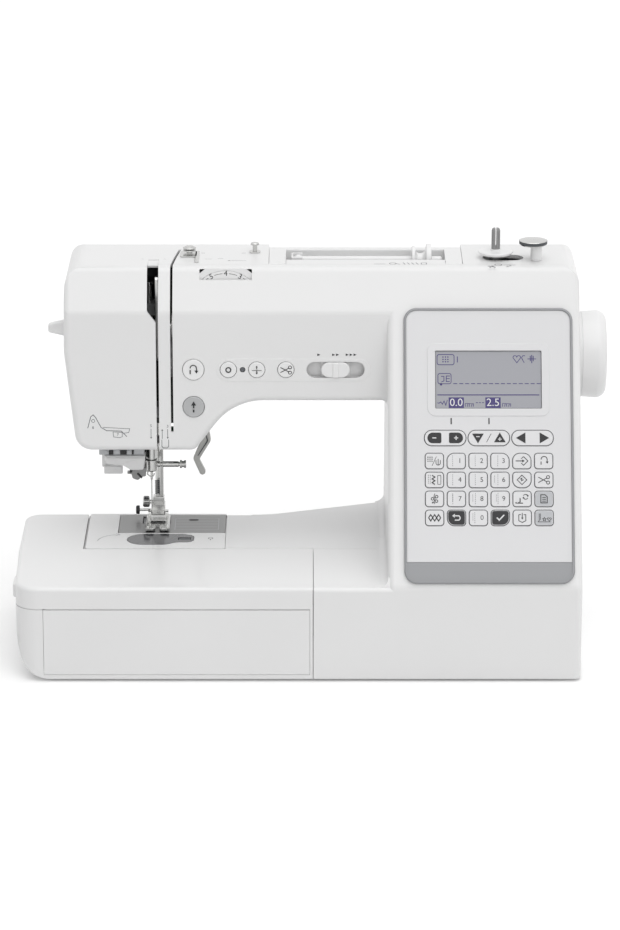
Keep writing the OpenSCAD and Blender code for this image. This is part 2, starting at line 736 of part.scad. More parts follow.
link_l = 27;
module crank_link() color("silver") difference() {
    union() {
        rod_x(y_needle, z_shaft + crank_r, 6, link_x, link_x + link_t);
        rod_x(y_needle, z_shaft + crank_r - link_l, 5, link_x, link_x + link_t);
        block([link_x, y_needle - 3, z_shaft + crank_r - link_l], [link_x + link_t, y_needle + 3, z_shaft + crank_r - 3.5]);
    }
    rod_x(y_needle, z_shaft + crank_r, 2.5 + run_fit, link_x - 1, link_x + link_t + 1);
    rod_x(y_needle, z_shaft + crank_r - link_l, 2, link_x - 1, link_x + link_t + 1);
}

// Loop around two round pulleys: outline of its outer or inner edge
function around(p, a0, a1, r) = [for (i = [0 : 16]) let (a = a0 + (a1 - a0) * i / 16) p + r * [cos(a), sin(a)]];
function loop(p, rp, q, rq) = let (
    d = norm(q - p),
    to = atan2(q[1] - p[1], q[0] - p[0]),
    half = acos((rp - rq) / d)
) concat(around(p, to + half, to + 360 - half, rp), around(q, to - half, to + half, rq));

module belt(p, rp, q, rq, x0, x1) along_x(x0, x1) difference() {
    polygon(loop(p, rp + 0.3 + belt_t, q, rq + 0.3 + belt_t));
    polygon(loop(p, rp + 0.3, q, rq + 0.3));
}

module timing_belt() belt([y_needle, z_shaft], timing_r, [y_low, z_low], timing_r, timing_x + 1, timing_x + timing_w - 1);
module drive_belt() belt([y_needle, z_shaft], drive_r, [motor_y, motor_z], motor_pulley_r, drive_x + 1, drive_x + drive_w - 1);

module belts() color("dimgray") {
    timing_belt();
    drive_belt();
}

module motor() color("dimgray") difference() {
    union() {
        rod_x(motor_y, motor_z, motor_r, motor_x0, motor_x0 + motor_l);
        rod_x(motor_y, motor_z, 7.8, motor_x0 + motor_l - 1, motor_x0 + motor_l + 5);
        rod_x(motor_y, motor_z, 6, motor_x0 - 2, motor_x0 + 1);
    }
    rod_x(motor_y, motor_z, 2.5 + run_fit, motor_x0 - 3, motor_x0 + 20);
}

module motor_pulley() color("silver") {
    rod_x(motor_y, motor_z, 2.5, drive_x, motor_x0 + 18);
    rod_x(motor_y, motor_z, motor_pulley_r, drive_x, drive_x + drive_w);
}

module lower_shaft() color("silver") {
    rod_x(y_low, z_low, lower_shaft_r, hook_x - 8, timing_x + timing_w + 2);
    rod_x(y_low, z_low, low_gear_r, hook_x - 5, hook_x + 5);
    rod_x(y_low, z_low, timing_r, timing_x, timing_x + timing_w);
}

module hook() color("silver") {
    difference() {
        rod_z(hook_x, hook_y, hook_r, hook_z0, hook_z1);
        rod_z(hook_x, hook_y, hook_r - 2, hook_z0 + 2, hook_z1 + 1);
    }
    rod_z(hook_x, hook_y, 6, z_low + 4, hook_z0 + 0.5);
    rod_z(hook_x, hook_y, hook_gear_r, z_low - 4.5, z_low + 4.5);
    rod_z(hook_x, hook_y, 3, free_arm_clear + wall + 1.5, z_low);
}

case_r = hook_r - 2.6;
case_z0 = hook_z0 + 2.3;
case_tab_y1 = hook_y + case_r + 4;
case_tab_z0 = hook_z1 + slide_gap;
module bobbin_case() color("#333333") difference() {
    union() {
        rod_z(hook_x, hook_y, case_r, case_z0, hook_z1 + 1);
        block([hook_x - 4, hook_y + 8, case_tab_z0], [hook_x + 4, case_tab_y1, hook_z1 + 2]);
    }
    rod_z(hook_x, hook_y, bobbin_r + 0.7, case_z0 + 1, hook_z1 + 5);
}

bobbin_z0 = case_z0 + 1.3;
module bobbin() color([0.9, 0.92, 0.95, 0.7]) difference() {
    union() {
        for (z = [bobbin_z0, bobbin_z0 + bobbin_h - 1.2]) rod_z(hook_x, hook_y, bobbin_r, z, z + 1.2);
        rod_z(hook_x, hook_y, 4.5, bobbin_z0, bobbin_z0 + bobbin_h);
    }
    rod_z(hook_x, hook_y, 3, bobbin_z0 - 1, bobbin_z0 + bobbin_h + 1);
}

module feed_dog() color("silver") {
    for (lane = feed_lanes) difference() {
        feed_lane(lane, 0, bed_h - 8, bed_h - 1.2);
        for (i = [0 : 8]) translate([0, feed_y0 + 0.8 + i * 1.6, bed_h - 1.2]) rotate([45, 0, 0])
            block([foot_x + lane - feed_w, -0.5, -0.5], [foot_x + lane + feed_w, 0.5, 0.5]);
    }
    block([foot_x - 11, feed_y0 + 1, bed_h - 11.5], [foot_x + 11, feed_y0 + feed_l - 1, bed_h - 7.9]);
}

drop_x = x_free + 86;
drop_z = bed_h - 26;
module drop_slot() block([drop_x - 10, y_free_back - wall - 1, drop_z - 2.5], [drop_x + 10, y_free_back + 1, drop_z + 2.5]);
module drop_feed_lever() color("dimgray") {
    block([drop_x - 4, y_free_back - wall - 1.5, drop_z - 2.2], [drop_x + 4, y_free_back + 3, drop_z + 2.2]);
    block([drop_x - 7, y_free_back - wall - 3.5, drop_z - 5], [drop_x + 7, y_free_back - wall - slide_gap, drop_z + 5]);
}

// ================= needle and foot
clamp_z0 = bed_h + 41;
clamp_h = 8.5;
clamp_screw_z = clamp_z0 + clamp_h / 2 + 0.5;
module needle_bar() color("silver") {
    needle_clamp();
    rod_z(x_needle, y_needle, needle_bar_r, clamp_z0 + clamp_h, z_top - 20);
    block([x_needle - 6.5, y_needle - 6, z_shaft - 5], [x_needle + 4.2, y_needle + 6, z_shaft + 5]);
}
module needle_clamp() difference() {
    union() {
        rod_z(x_needle, y_needle, 4.6, clamp_z0, clamp_z0 + clamp_h);
        block([x_needle - 6, y_needle - 3.5, clamp_z0], [x_needle, y_needle + 3.5, clamp_z0 + clamp_h]);
    }
    rod_x(y_needle, clamp_screw_z, 2.1 + run_fit, x_needle + 1.2, x_needle + 8);
    rod_z(x_needle, y_needle, 1, clamp_z0 - 1, clamp_z0 + clamp_h);
}
module needle() color("silver") {
    rod_z(x_needle, y_needle, 1, clamp_z0 - 6, clamp_z0 + clamp_h);
    rod_z(x_needle, y_needle, 0.45, clamp_z0 - 26, clamp_z0 - 6);
    translate([x_needle, y_needle, clamp_z0 - 29]) cylinder(h = 3.02, r1 = 0.1, r2 = 0.45);
}
module needle_clamp_screw() color("silver") {
    rod_x(y_needle, clamp_screw_z, 2.1, x_needle + 1.4, x_needle + 18);
    rod_x(y_needle, clamp_screw_z, 3, x_needle + 18, x_needle + 22.8);
}

foot_z = bed_h + 0.3;
holder_z0 = bed_h + 5;
holder_z1 = bed_h + 19;
foot_pin_y = y_needle + 8;
foot_pin_z = bed_h + 7;
foot_pin_r = 0.9;
module presser_bar() color("silver") {
    rod_z(presser_x, presser_y, presser_bar_r, holder_z1 - 2, z_top - 24);
    rod_z(presser_x, presser_y, presser_bar_r + 2.6, bar_guide2_z - 20, bar_guide2_z - 14);
}
module presser_spring() color("silver") difference() {
    rod_z(presser_x, presser_y, presser_bar_r + 2, bar_guide2_z - 13.7, bar_guide2_z - 0.3);
    rod_z(presser_x, presser_y, presser_bar_r + 0.4, bar_guide2_z - 15, bar_guide2_z + 1);
}
// Shank that the foot snaps onto, clamped to the presser bar
module foot_shank() difference() {
    union() {
        block([foot_x - 4, presser_y - 4, holder_z0 + 7], [presser_x + 4, presser_y + 4, holder_z1]);
        block([foot_x - 4.9, y_needle + 5, holder_z0], [foot_x + 4.9, presser_y + 2, holder_z0 + 8]);
    }
    rod_x(foot_pin_y, foot_pin_z, foot_pin_r + run_fit, foot_x - 6, foot_x + 6);
    rod_z(presser_x, presser_y, presser_bar_r, holder_z1 - 2, holder_z1 + 5);
    rod_x(presser_y, holder_z1 - 5, 1.5 + run_fit, foot_x - 5, foot_x - 0.5);
}
module foot_screw() {
    rod_x(presser_y, holder_z1 - 5, 1.5, foot_x - 8, foot_x - 0.7);
    rod_x(presser_y, holder_z1 - 5, 2.2, foot_x - 7.6, foot_x - 4);
    rod_x(presser_y, holder_z1 - 5, 4, foot_x - 12.5, foot_x - 7.5);
}
module foot_holder() color("silver") {
    foot_shank();
    foot_screw();
}
foot_l = 34;
foot_w = 17;
foot_y0 = y_needle - 19;
module presser_foot() color("silver") {
    difference() {
        // turned-up toe in front; behind the pin the heel rises, so the toe can tip up
        intersection() {
            along_x(foot_x - foot_w / 2, foot_x + foot_w / 2) outline([
                [foot_y0, foot_z + 1.6, 0], [foot_y0 + 5, foot_z, 8], [foot_pin_y, foot_z, 0],
                [foot_y0 + foot_l, foot_z + 1.3, 0], [foot_y0 + foot_l, foot_z + 2.5, 0],
                [foot_pin_y, foot_z + 1.8, 0], [foot_y0 + 5, foot_z + 1.8, 8], [foot_y0, foot_z + 3.2, 0]
            ]);
            along_z(foot_z - 1, foot_z + 5) outline(box_outline(foot_x - foot_w / 2, foot_y0, foot_x + foot_w / 2, foot_y0 + foot_l, 2));
        }
        block([x_needle - 1.8, y_needle - 4, foot_z - 1], [x_needle + 8.4, y_needle + 3, foot_z + 3]);
        block([foot_x - 1.5, foot_y0 - 1, foot_z - 1], [foot_x + 1.5, y_needle - 8, foot_z + 4]);
    }
    for (s = [-1, 1]) block([foot_x + s * 6.2 - 1, foot_pin_y - 3, foot_z + 1.7], [foot_x + s * 6.2 + 1, foot_pin_y + 3, foot_pin_z + 1.6]);
    rod_x(foot_pin_y, foot_pin_z, foot_pin_r, foot_x - 6.2, foot_x + 6.2);
}

// Lever behind the head that lifts the foot
module foot_lever() color("lightgray") difference() {
    along_y(lever_y, lever_y + lever_t) outline([
        [lever_pivot_x - 4, lever_pivot_z + 4, 3.9],
        [lever_pivot_x - 3, z_head - 20, 4],
        [lever_pivot_x - 7, z_head - 28, 3],
        [lever_pivot_x - 1, z_head - 43, 2.5],
        [lever_pivot_x + 4.5, z_head - 40, 2.5],
        [lever_pivot_x - 1, z_head - 28, 3],
        [lever_pivot_x + 6, z_head - 15, 4],
        [lever_pivot_x + 4, lever_pivot_z + 4, 3.9]
    ]);
    rod_y(lever_pivot_x, lever_pivot_z, 2 + run_fit, lever_y - 1, lever_y + lever_t + 1);
}

module take_up_lever() color("silver") difference() {
    union() {
        rod_x(lever_axis_y, lever_axis_z, 5, slot_x0 - 1.3, slot_x1 - 0.5);
        along_x(slot_x0 - 1.3, slot_x1 - 0.5) polygon([
            [lever_axis_y - 5, lever_axis_z], [lever_axis_y + 5, lever_axis_z],
            [lever_axis_y - 4, z_top - 10], [lever_axis_y - 10, z_top - 10]
        ]);
    }
    rod_x(lever_axis_y, lever_axis_z, 2.5 + run_fit, slot_x0 - 5, slot_x1 + 5);
    rod_x(lever_axis_y - 7, z_top - 14, 1.2, slot_x0 - 5, slot_x1 + 5);
}

// ================= threader and buttonhole lever
module threader_lever() color("whitesmoke") {
    along_y(threader_y - 2.6, threader_y + 2.6) outline([
        [x_head - 13, threader_z - 3, 1.5], [x_head + 4, threader_z - 7, 0], [x_head + 4, threader_z + 7, 0], [x_head - 13, threader_z + 3, 1.5]
    ]);
    block([x_head + 3.6, threader_y - 5, threader_z - 7], [x_head + 9, threader_y + 4, threader_z + 7]);
}
threader_unit_z = bed_h + 44;
module threader_unit() color("whitesmoke") {
    block([x_needle - 34.5, threader_rod_y - 10, threader_unit_z], [x_needle - 7.5, threader_rod_y + 6, threader_unit_z + 9.5]);
    block([x_needle - 36, threader_rod_y - 9, threader_unit_z + 9.4], [x_needle - 7.5, threader_rod_y + 5.5, threader_unit_z + 13.5]);
    block([x_needle - 20, threader_rod_y - 8, threader_unit_z - 9], [x_needle - 8, threader_rod_y - 4, threader_unit_z + 0.1]);
    rod_z(threader_x, threader_rod_y, threader_rod_r, threader_unit_z + 13.4, threader_z - 16);
}
module buttonhole_lever() color("whitesmoke") {
    block([buttonhole_x - 3.5, buttonhole_y - 1.5, bed_h + 41], [buttonhole_x + 3.5, buttonhole_y + 1.5, bar_guide_z + bar_guide_h + 40]);
    block([buttonhole_x - 3.5, buttonhole_y - 4, bed_h + 38], [buttonhole_x + 3.5, buttonhole_y + 1.5, bed_h + 41.1]);
}

module lamp() {
    block([x_needle + 14, under_y0 + 3, z_head + 1], [x_needle + 26, under_y0 + 15, z_head + 4]);
    block([x_needle + 17, under_y0 + 14, z_head + 1], [x_needle + 23, frame_y, z_head + 4]);
    block([x_needle + 11, frame_y - 2, z_head + 1], [x_needle + 23, frame_y, z_head + 12]);
}

// ================= thread path
module tension_discs() {
    for (x = [-1.6, 0.6]) rod_x(y_arm + 16, z_crease - 14, 10, tension_slot_x + x, tension_slot_x + x + 1);
    rod_x(y_arm + 16, z_crease - 14, 2.5, tension_slot_x - 5, tension_slot_x + 4);
    block([tension_slot_x - 6, y_arm + wall, z_crease - 18], [tension_slot_x - 4, y_arm + 20, z_crease - 10]);
}
module tension_dial() color("whitesmoke") difference() {
    rod_y(dial_x, dial_z, dial_r, dial_y, dial_y + dial_t);
    rod_y(dial_x, dial_z, 3 + run_fit, dial_y - 1, dial_y + dial_t + 1);
}
module dial_post() {
    rod_y(dial_x, dial_z, 3, dial_y - 3, dial_y + dial_t + 4);
    block([dial_x - 6, dial_y + dial_t + 1, dial_z - 6], [dial_x + 6, dial_y + dial_t + 4, dial_z + 6]);
    block([dial_x - 6, dial_y + dial_t + 3.9, dial_z - 6], [dial_x + 6, frame_y, dial_z]);
}
module pretension_guide() {
    block([x_needle + 22, y_arm + 40, z_top], [x_needle + 34, y_arm + 56, z_top + 1]);
    rod_z(x_needle + 28.5, y_arm + 50, 2, z_top, z_top + 6);
    for (z = [2.6, 4.2]) rod_z(x_needle + 28.5, y_arm + 50, 4.6, z_top + z, z_top + z + 0.8);
    block([x_needle + 32.5, y_arm + 26, z_top], [x_needle + 35.5, y_arm + 56, z_top + 1]);
}
module arm_thread_guide() {
    block([x_needle + 70.5, y_arm + 52, z_top], [x_needle + 78, y_arm + 59, z_top + 1]);
    rod_z(x_needle + 74.3, y_arm + 55.5, 1.6, z_top, z_top + 7);
    rod_z(x_needle + 74.3, y_arm + 55.5, 3, z_top + 5.5, z_top + 7);
}

module thread_guides() color("silver") {
    tension_discs();
    pretension_guide();
    arm_thread_guide();
}

// ================= top
hinge_y = handle_y0 + 6;
hinge_z = z_top - 6;
module carrying_handle() color("white") difference() {
    union() {
        for (x = [recess_x0 + slide_gap, recess_x1 - handle_w - slide_gap])
            along_x(x, x + handle_w) outline([
                [handle_y0, z_top - handle_t, 5.9], [handle_y1, z_top - handle_t, 2],
                [handle_y1, z_top - 3, 3], [handle_y1 - 8, z_top, 6], [handle_y0, z_top, 5.9]
            ]);
        along_x(recess_x0 + handle_w, recess_x1 - handle_w) outline([
            [handle_y1 - grip_d, z_top - handle_t, 3], [handle_y1, z_top - handle_t, 3],
            [handle_y1, z_top - 3, 3], [handle_y1 - 8, z_top, 6], [handle_y1 - grip_d, z_top, 1.5]
        ]);
    }
    for (x = [recess_x0, recess_x1]) rod_x(hinge_y, hinge_z, 2 + run_fit, x - 3, x + 3);
}
module handle_pins() {
    rod_x(hinge_y, hinge_z, 2, recess_x0, recess_x0 + 2.8);
    rod_x(hinge_y, hinge_z, 2, recess_x1 - 2.8, recess_x1);
}

spool_x0 = recess_x0 + handle_w + 4;
spool_x1 = recess_x1 - handle_w - 2;
spool_r = 2.6;
cap_x = spool_x1 - 20;
cap_t = 13;
cap_r = 10.5;
cap_small_r = 7;
module spool_bracket() difference() {
    block([spool_x0, spool_y - 7, recess_z], [spool_x0 + 8, spool_y + 7, spool_z + 3.5]);
    block([spool_x0 + 1.2, spool_y - 4.3, recess_z - 1], [spool_x0 + 9, spool_y + 4.3, spool_z + 5]);
    rod_y(spool_x0 + 5, spool_z, 1.2 + run_fit, spool_y - 8, spool_y + 8);
}
module spool_pin() color("white") {
    rod_x(spool_y, spool_z, spool_r, spool_x0 + 5, spool_x1);
    rod_y(spool_x0 + 5, spool_z, 1.2, spool_y - 6.8, spool_y + 6.8);
    rod_y(spool_x0 + 5, spool_z, 3, spool_y - 4, spool_y + 4);
}
module spool_cap() color("white") difference() {
    union() {
        rod_x(spool_y, spool_z, cap_small_r, cap_x, cap_x + 2.5);
        rod_x(spool_y, spool_z, 4.6, cap_x + 2.4, cap_x + cap_t - 3);
        rod_x(spool_y, spool_z, cap_r, cap_x + cap_t - 3.1, cap_x + cap_t);
    }
    rod_x(spool_y, spool_z, spool_r + run_fit, cap_x - 1, cap_x + cap_t + 1);
}

winder_z0 = z_top - 34;
winder_top = 21.5;
module winder_slide() color("darkgray") difference() {
    block([winder_x - 8, winder_y - 9, winder_z0 + 10], [winder_x + 8, frame_y - slide_gap, winder_z0 + 14]);
    rod_z(winder_x, winder_y, winder_r + run_fit, winder_z0, winder_z0 + 20);
}
module winder_rail()
    block([winder_x - 12, frame_y - 10, winder_z0 + 4], [winder_x + 20, frame_y + frame_t, winder_z0 + 10 - slide_gap]);
module winder_shaft() color("silver") {
    rod_z(winder_x, winder_y, winder_r, winder_z0, z_top + winder_top);
    rod_z(winder_x, winder_y, 12.2, z_top + 3.2, z_top + 5.7);
    rod_z(winder_x, winder_y, 12, winder_z0 + 1, winder_z0 + 6);
}
module winder_stop() color("silver") {
    rod_z(winder_stop_x, winder_stop_y, 2.95, z_top - 5, z_top + 1);
    rod_z(winder_stop_x, winder_stop_y, 4, z_top, z_top + 12);
    rod_z(winder_stop_x - 2.2, winder_stop_y, 9.8, z_top + 11.9, z_top + 15);
}

// ================= buttons
module reverse_button() color("white") button(big_button_x, button_z, big_button_r);
module start_button() color("silver") button(big_button_x, start_z, big_button_r);
module reinforce_button() color("white") button(reinforce_x, button_z, small_button_r);
module needle_button() color("white") button(needle_button_x, button_z, small_button_r);
module cutter_button() color("white") button(cutter_x, button_z, small_button_r);
module speed_slider() color("white") {
    block([speed_x - speed_knob_w / 2, y_arm - 2.5, button_z - speed_h / 2 + slide_gap],
        [speed_x + speed_knob_w / 2, y_arm + wall, button_z + speed_h / 2 - slide_gap]);
    block([speed_x - speed_knob_w / 2, y_arm + wall + slide_gap, button_z - speed_h / 2 - 1.5],
        [speed_x + speed_knob_w / 2, y_arm + wall + 2.5, button_z + speed_h / 2 + 1.5]);
    block([speed_x - 3, y_arm + wall - 0.1, button_z - 4], [speed_x + 3, y_arm + wall + 1, button_z + 4]);
}
module button_board() {
    block([big_button_x - 9, y_arm + 8, button_z - 9], [speed_x - speed_w / 2 - 4, y_arm + 9.6, button_z + 9]);
    block([big_button_x - 9, y_arm + 8, start_z - 9], [big_button_x + 9, y_arm + 9.6, button_z]);
    rod_y(light_x, button_z, light_r, y_arm - 0.3, y_arm + 8.1);
    for (x = [reinforce_x - 8.5, cutter_x + 8.5]) rod_y(x, button_z, 1.5, y_arm + wall, y_arm + 8.1);
}

// ================= panel
module panel_frame() color("silver") on_slope() {
    along_z(0, plate_t + 0.8) difference() {
        outline(panel_outline);
        outline(panel_inner);
    }
    // silver band below the keys
    along_z(0, plate_t) intersection() {
        outline(inset(panel_outline, rim / 2));
        translate([panel_x0, panel_up - panel_l]) square([panel_w, rim + band_h - 0.2]);
    }
}
module operation_panel() color("white") on_slope() difference() {
    along_z(0.2, plate_t) intersection() {
        outline(inset(panel_inner, 0.2));
        translate([panel_x0, band_y]) square([panel_w, panel_l]);
    }
    for (row = [0 : 3], column = [0 : 5]) key_block(column, row, button_gap, -1, 10);
    for (place = [0 : 2]) rocker_block(place, button_gap, -1, 10);
    translate([panel_x, display_y, 0]) along_z(-1, 10)
        square([display_w + 2 * slide_gap, display_l + 2 * slide_gap], center = true);
}
module display() color([0.68, 0.7, 0.78]) on_slope() translate([panel_x, display_y, 0]) {
    along_z(-0.5, plate_t - 0.6) square([display_w, display_l], center = true);
    along_z(-4, -0.4) square([display_w + display_frame, display_l + display_frame], center = true);
}
module number_keys() color("white") key_set(number_keys_at);
module function_keys() color("white") {
    key_set(concat(stitch_keys_at, function_keys_at));
    on_slope() for (place = [0 : 2]) rocker_block(place);
}
module control_board() on_slope() {
    translate([panel_x0 + 6, panel_up - panel_l + 14, 0]) along_z(-6, -4.4) square([panel_w - 12, panel_l - 30]);
    for (x = [panel_x0 + 8, panel_x1 - 8], y = [panel_up - panel_l + 20, row_y + 30]) translate([x, y, 0])
        along_z(-4.5, 0.2) circle(r = 2);
    translate([panel_x, display_y, 0]) along_z(-4.5, -4) square([30, 20], center = true);
}

// ================= power
switch_y = y_back - 81;
switch_z = 36;
inlet_y = y_back - 49;
jack_y = y_back - 23;
module socket_holes() {
    block([x_right - 2 * wall, switch_y - 6.5, switch_z - 10.6], [x_right + 1, switch_y + 6.5, switch_z + 10.6]);
    block([x_right - 2 * wall, inlet_y - 10, switch_z - 7], [x_right + 1, inlet_y + 10, switch_z + 7]);
    rod_x(jack_y, switch_z, 5, x_right - 2 * wall, x_right + 1);
}
module power_switch() color("dimgray") {
    intersection() {
        rod_y(x_right - 8, switch_z, 11.5, switch_y - 6.2, switch_y + 6.2);
        block([x_right - 7, switch_y - 7, switch_z - 9.4], [x_right + 5, switch_y + 7, switch_z + 9.4]);
    }
    rod_y(x_right - 8, switch_z, 2, switch_y - 9, switch_y + 9);
}
module switch_body() difference() {
    block([x_right - 16, switch_y - 9.5, switch_z - 12], [x_right - wall, switch_y + 9.5, switch_z + 12]);
    block([x_right - 14, switch_y - 6.6, switch_z - 11.2], [x_right, switch_y + 6.6, switch_z + 11.2]);
    rod_y(x_right - 8, switch_z, 2 + run_fit, switch_y - 9.2, switch_y + 9.2);
}
module sockets() color("dimgray") {
    switch_body();
    difference() {
        block([x_right - 18, inlet_y - 9.7, switch_z - 6.7], [x_right + 0.5, inlet_y + 9.7, switch_z + 6.7]);
        block([x_right - 12, inlet_y - 8, switch_z - 5], [x_right + 2, inlet_y + 8, switch_z + 5]);
    }
    for (y = [-3.5, 3.5]) rod_x(inlet_y + y, switch_z, 1.2, x_right - 13, x_right - 3);
    difference() {
        rod_x(jack_y, switch_z, 4.8, x_right - 14, x_right + 0.8);
        rod_x(jack_y, switch_z, 1.8, x_right - 12, x_right + 1);
    }
}
module power_board() {
    block([x_column + 20, y_free + 14, pan_top + 4], [x_right - 36, y_back - 45, pan_top + 5.6]);
    for (x = [x_column + 24, x_right - 40], y = [y_free + 18, y_back - 49]) rod_z(x, y, 2, pan_floor, pan_top + 4.1);
    for (x = [0, 1, 2]) rod_z(x_column + 34 + x * 16, y_free + 26, 5, pan_top + 5.5, pan_top + 20);
}

module circuit_boards() color("seagreen") {
    control_board();
    button_board();
    power_board();
    lamp();
}

// ================= flat-bed attachment
attach_gap = 0.4;
att_x1 = x_seam - attach_gap;
att_plan = [
    [x_left + 3, y_front, 14],
    [att_x1, y_front, 0.8],
    [att_x1, y_free - attach_gap, 0],
    [x_free - attach_gap, y_free - attach_gap, 1],
    [x_free - attach_gap, y_free_back, 1],
    [x_left, y_free_back, 12],
    [x_left, y_free, 60]
];
att_front = [
    [x_left + 8, base_z0, 22],
    [att_x1 + 1, base_z0, 0],
    [att_x1 + 1, bed_h, 0],
    [x_left - 1, bed_h, 0],
    [x_left - 1, bed_h - 15, 0]
];
module attachment_form(t = 0) intersection() {
    along_z(base_z0 - 1, bed_h - t) outline(inset(att_plan, t));
    along_y(y_front - 1, y_back) outline(inset(att_front, t));
}
door_x0 = x_left + 22;
door_x1 = att_x1 - 2.2;
door_z0 = base_z0 + 3;
door_gap = 0.6;
door_edge_r = 2;
door_pin_r = 1.2;
door_axis_y = y_front + door_edge_r;
door_axis_z = door_z0 + door_edge_r;
grip_y = y_front + 27;
module bed_attachment() color("white") difference() {
    union() {
        difference() {
            attachment_form();
            attachment_form(wall);
        }
        block([x_left + 0.4, grip_y - 9, bed_h - 13], [x_left + 4, grip_y + 9, bed_h - 3]);
        // bosses for the door's pins
        block([door_x0 - 5, y_front + 1, door_z0 - 1], [door_x0, y_front + 2 * wall, door_z0 + 6]);
        block([door_x1, y_front + 1, door_z0 - 1], [att_x1 - 1, y_front + 2 * wall, door_z0 + 6]);
    }
    block([door_x0 - slide_gap, y_front - 1, door_z0 - slide_gap], [door_x1 + slide_gap, y_front + 3 * wall, door_h + door_gap]);
    for (x = [door_x0, door_x1]) rod_x(door_axis_y, door_axis_z, door_pin_r + run_fit, x - 1.8, x + 1.8);
}
module accessory_door() color("white") {
    block([door_x0, y_front, door_axis_z], [door_x1, y_front + wall, door_h]);
    rod_x(door_axis_y, door_axis_z, door_edge_r, door_x0, door_x1);
    rod_x(door_axis_y, door_axis_z, door_pin_r, door_x0 - 1.6, door_x1 + 1.6);
}

base_pan();
bed_cover();
front_cover();
face_cover();
rear_cover();
plate_cover();
needle_plate();
bobbin_cover();
rubber_feet();
fasteners();
main_frame();
shaft_bushes();
handwheel();
upper_shaft();
crank_link();
belts();
motor();
motor_pulley();
lower_shaft();
hook();
bobbin_case();
bobbin();
feed_dog();
drop_feed_lever();
needle_bar();
needle();
needle_clamp_screw();
presser_bar();
presser_spring();
foot_holder();
presser_foot();
foot_lever();
take_up_lever();
threader_lever();
threader_unit();
buttonhole_lever();
thread_guides();
tension_dial();
carrying_handle();
spool_pin();
spool_cap();
winder_slide();
winder_shaft();
winder_stop();
reverse_button();
start_button();
reinforce_button();
needle_button();
cutter_button();
speed_slider();
panel_frame();
operation_panel();
display();
number_keys();
function_keys();
circuit_boards();
power_switch();
sockets();
bed_attachment();
accessory_door();
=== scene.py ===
"""A household sewing machine: the looks of its covers, panel, keys, needle area and metal parts.

Shapes are worked out in millimetres, in the part's own frame, and each mesh is scaled to
metres as it is finished.  Covers are cut from two or three crossed outlines, as a mould would
be, and their edges are rounded.
"""
import json
import logging
import math
from dataclasses import dataclass
from enum import Enum
from typing import Callable, Iterable, Sequence

import bmesh
import bpy
from mathutils import Matrix, Vector

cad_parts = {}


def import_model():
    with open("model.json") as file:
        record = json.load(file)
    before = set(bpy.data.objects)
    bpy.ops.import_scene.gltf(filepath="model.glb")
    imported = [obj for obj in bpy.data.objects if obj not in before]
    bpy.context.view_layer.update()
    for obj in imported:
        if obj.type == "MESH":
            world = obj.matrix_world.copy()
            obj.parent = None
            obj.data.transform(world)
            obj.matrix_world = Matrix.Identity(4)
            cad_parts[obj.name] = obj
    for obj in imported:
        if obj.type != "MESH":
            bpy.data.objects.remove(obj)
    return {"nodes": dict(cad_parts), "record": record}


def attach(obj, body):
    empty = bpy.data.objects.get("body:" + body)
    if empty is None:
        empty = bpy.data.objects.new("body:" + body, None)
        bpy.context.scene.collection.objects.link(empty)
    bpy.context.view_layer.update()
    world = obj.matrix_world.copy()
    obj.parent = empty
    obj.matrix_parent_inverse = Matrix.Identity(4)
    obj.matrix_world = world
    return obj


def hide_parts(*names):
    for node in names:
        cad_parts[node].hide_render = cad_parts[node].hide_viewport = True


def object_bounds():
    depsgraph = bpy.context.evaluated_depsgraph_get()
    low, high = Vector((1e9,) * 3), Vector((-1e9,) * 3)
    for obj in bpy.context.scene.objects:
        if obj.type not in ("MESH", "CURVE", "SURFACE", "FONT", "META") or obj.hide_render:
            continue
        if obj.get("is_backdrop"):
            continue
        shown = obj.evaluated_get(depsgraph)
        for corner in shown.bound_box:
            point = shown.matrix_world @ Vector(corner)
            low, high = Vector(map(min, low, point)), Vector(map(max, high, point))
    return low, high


LOG = logging.getLogger("sewing_machine")
MM = 0.001
SAME_PLACE = 0.002
SMOOTH_LIMIT = math.radians(32)
ARC_STEP = math.radians(5)
RIM_STEPS = 6

Point = tuple[float, float]
Corner = tuple[float, ...]
Mesh = bpy.types.Object
SLOT_OF: dict[str, str] = {}
BODY_OF: dict[str, str] = {}


class Axis(Enum):
    """The direction that an outline is pushed along."""

    X = 0
    Y = 1
    Z = 2

    def place(self, across: float, up: float, along: float) -> Vector:
        """Turns a place on the outline, and one along the push, into a point.

        Args:
            across: The outline's first coordinate, in millimetres.
            up: The outline's second coordinate.
            along: The place along the axis.

        Returns:
            The point in the part's frame.
        """
        if self is Axis.X:
            return Vector((along, across, up))
        if self is Axis.Y:
            return Vector((across, along, up))
        return Vector((across, up, along))


X, Y, Z = Axis


# ---------------------------------------------------------------- outlines
def in_full(corners: Sequence[Corner]) -> list[tuple[float, float, float]]:
    """The corners with a radius of 0 where they have none."""
    return [(*corner, 0.0)[:3] for corner in corners]


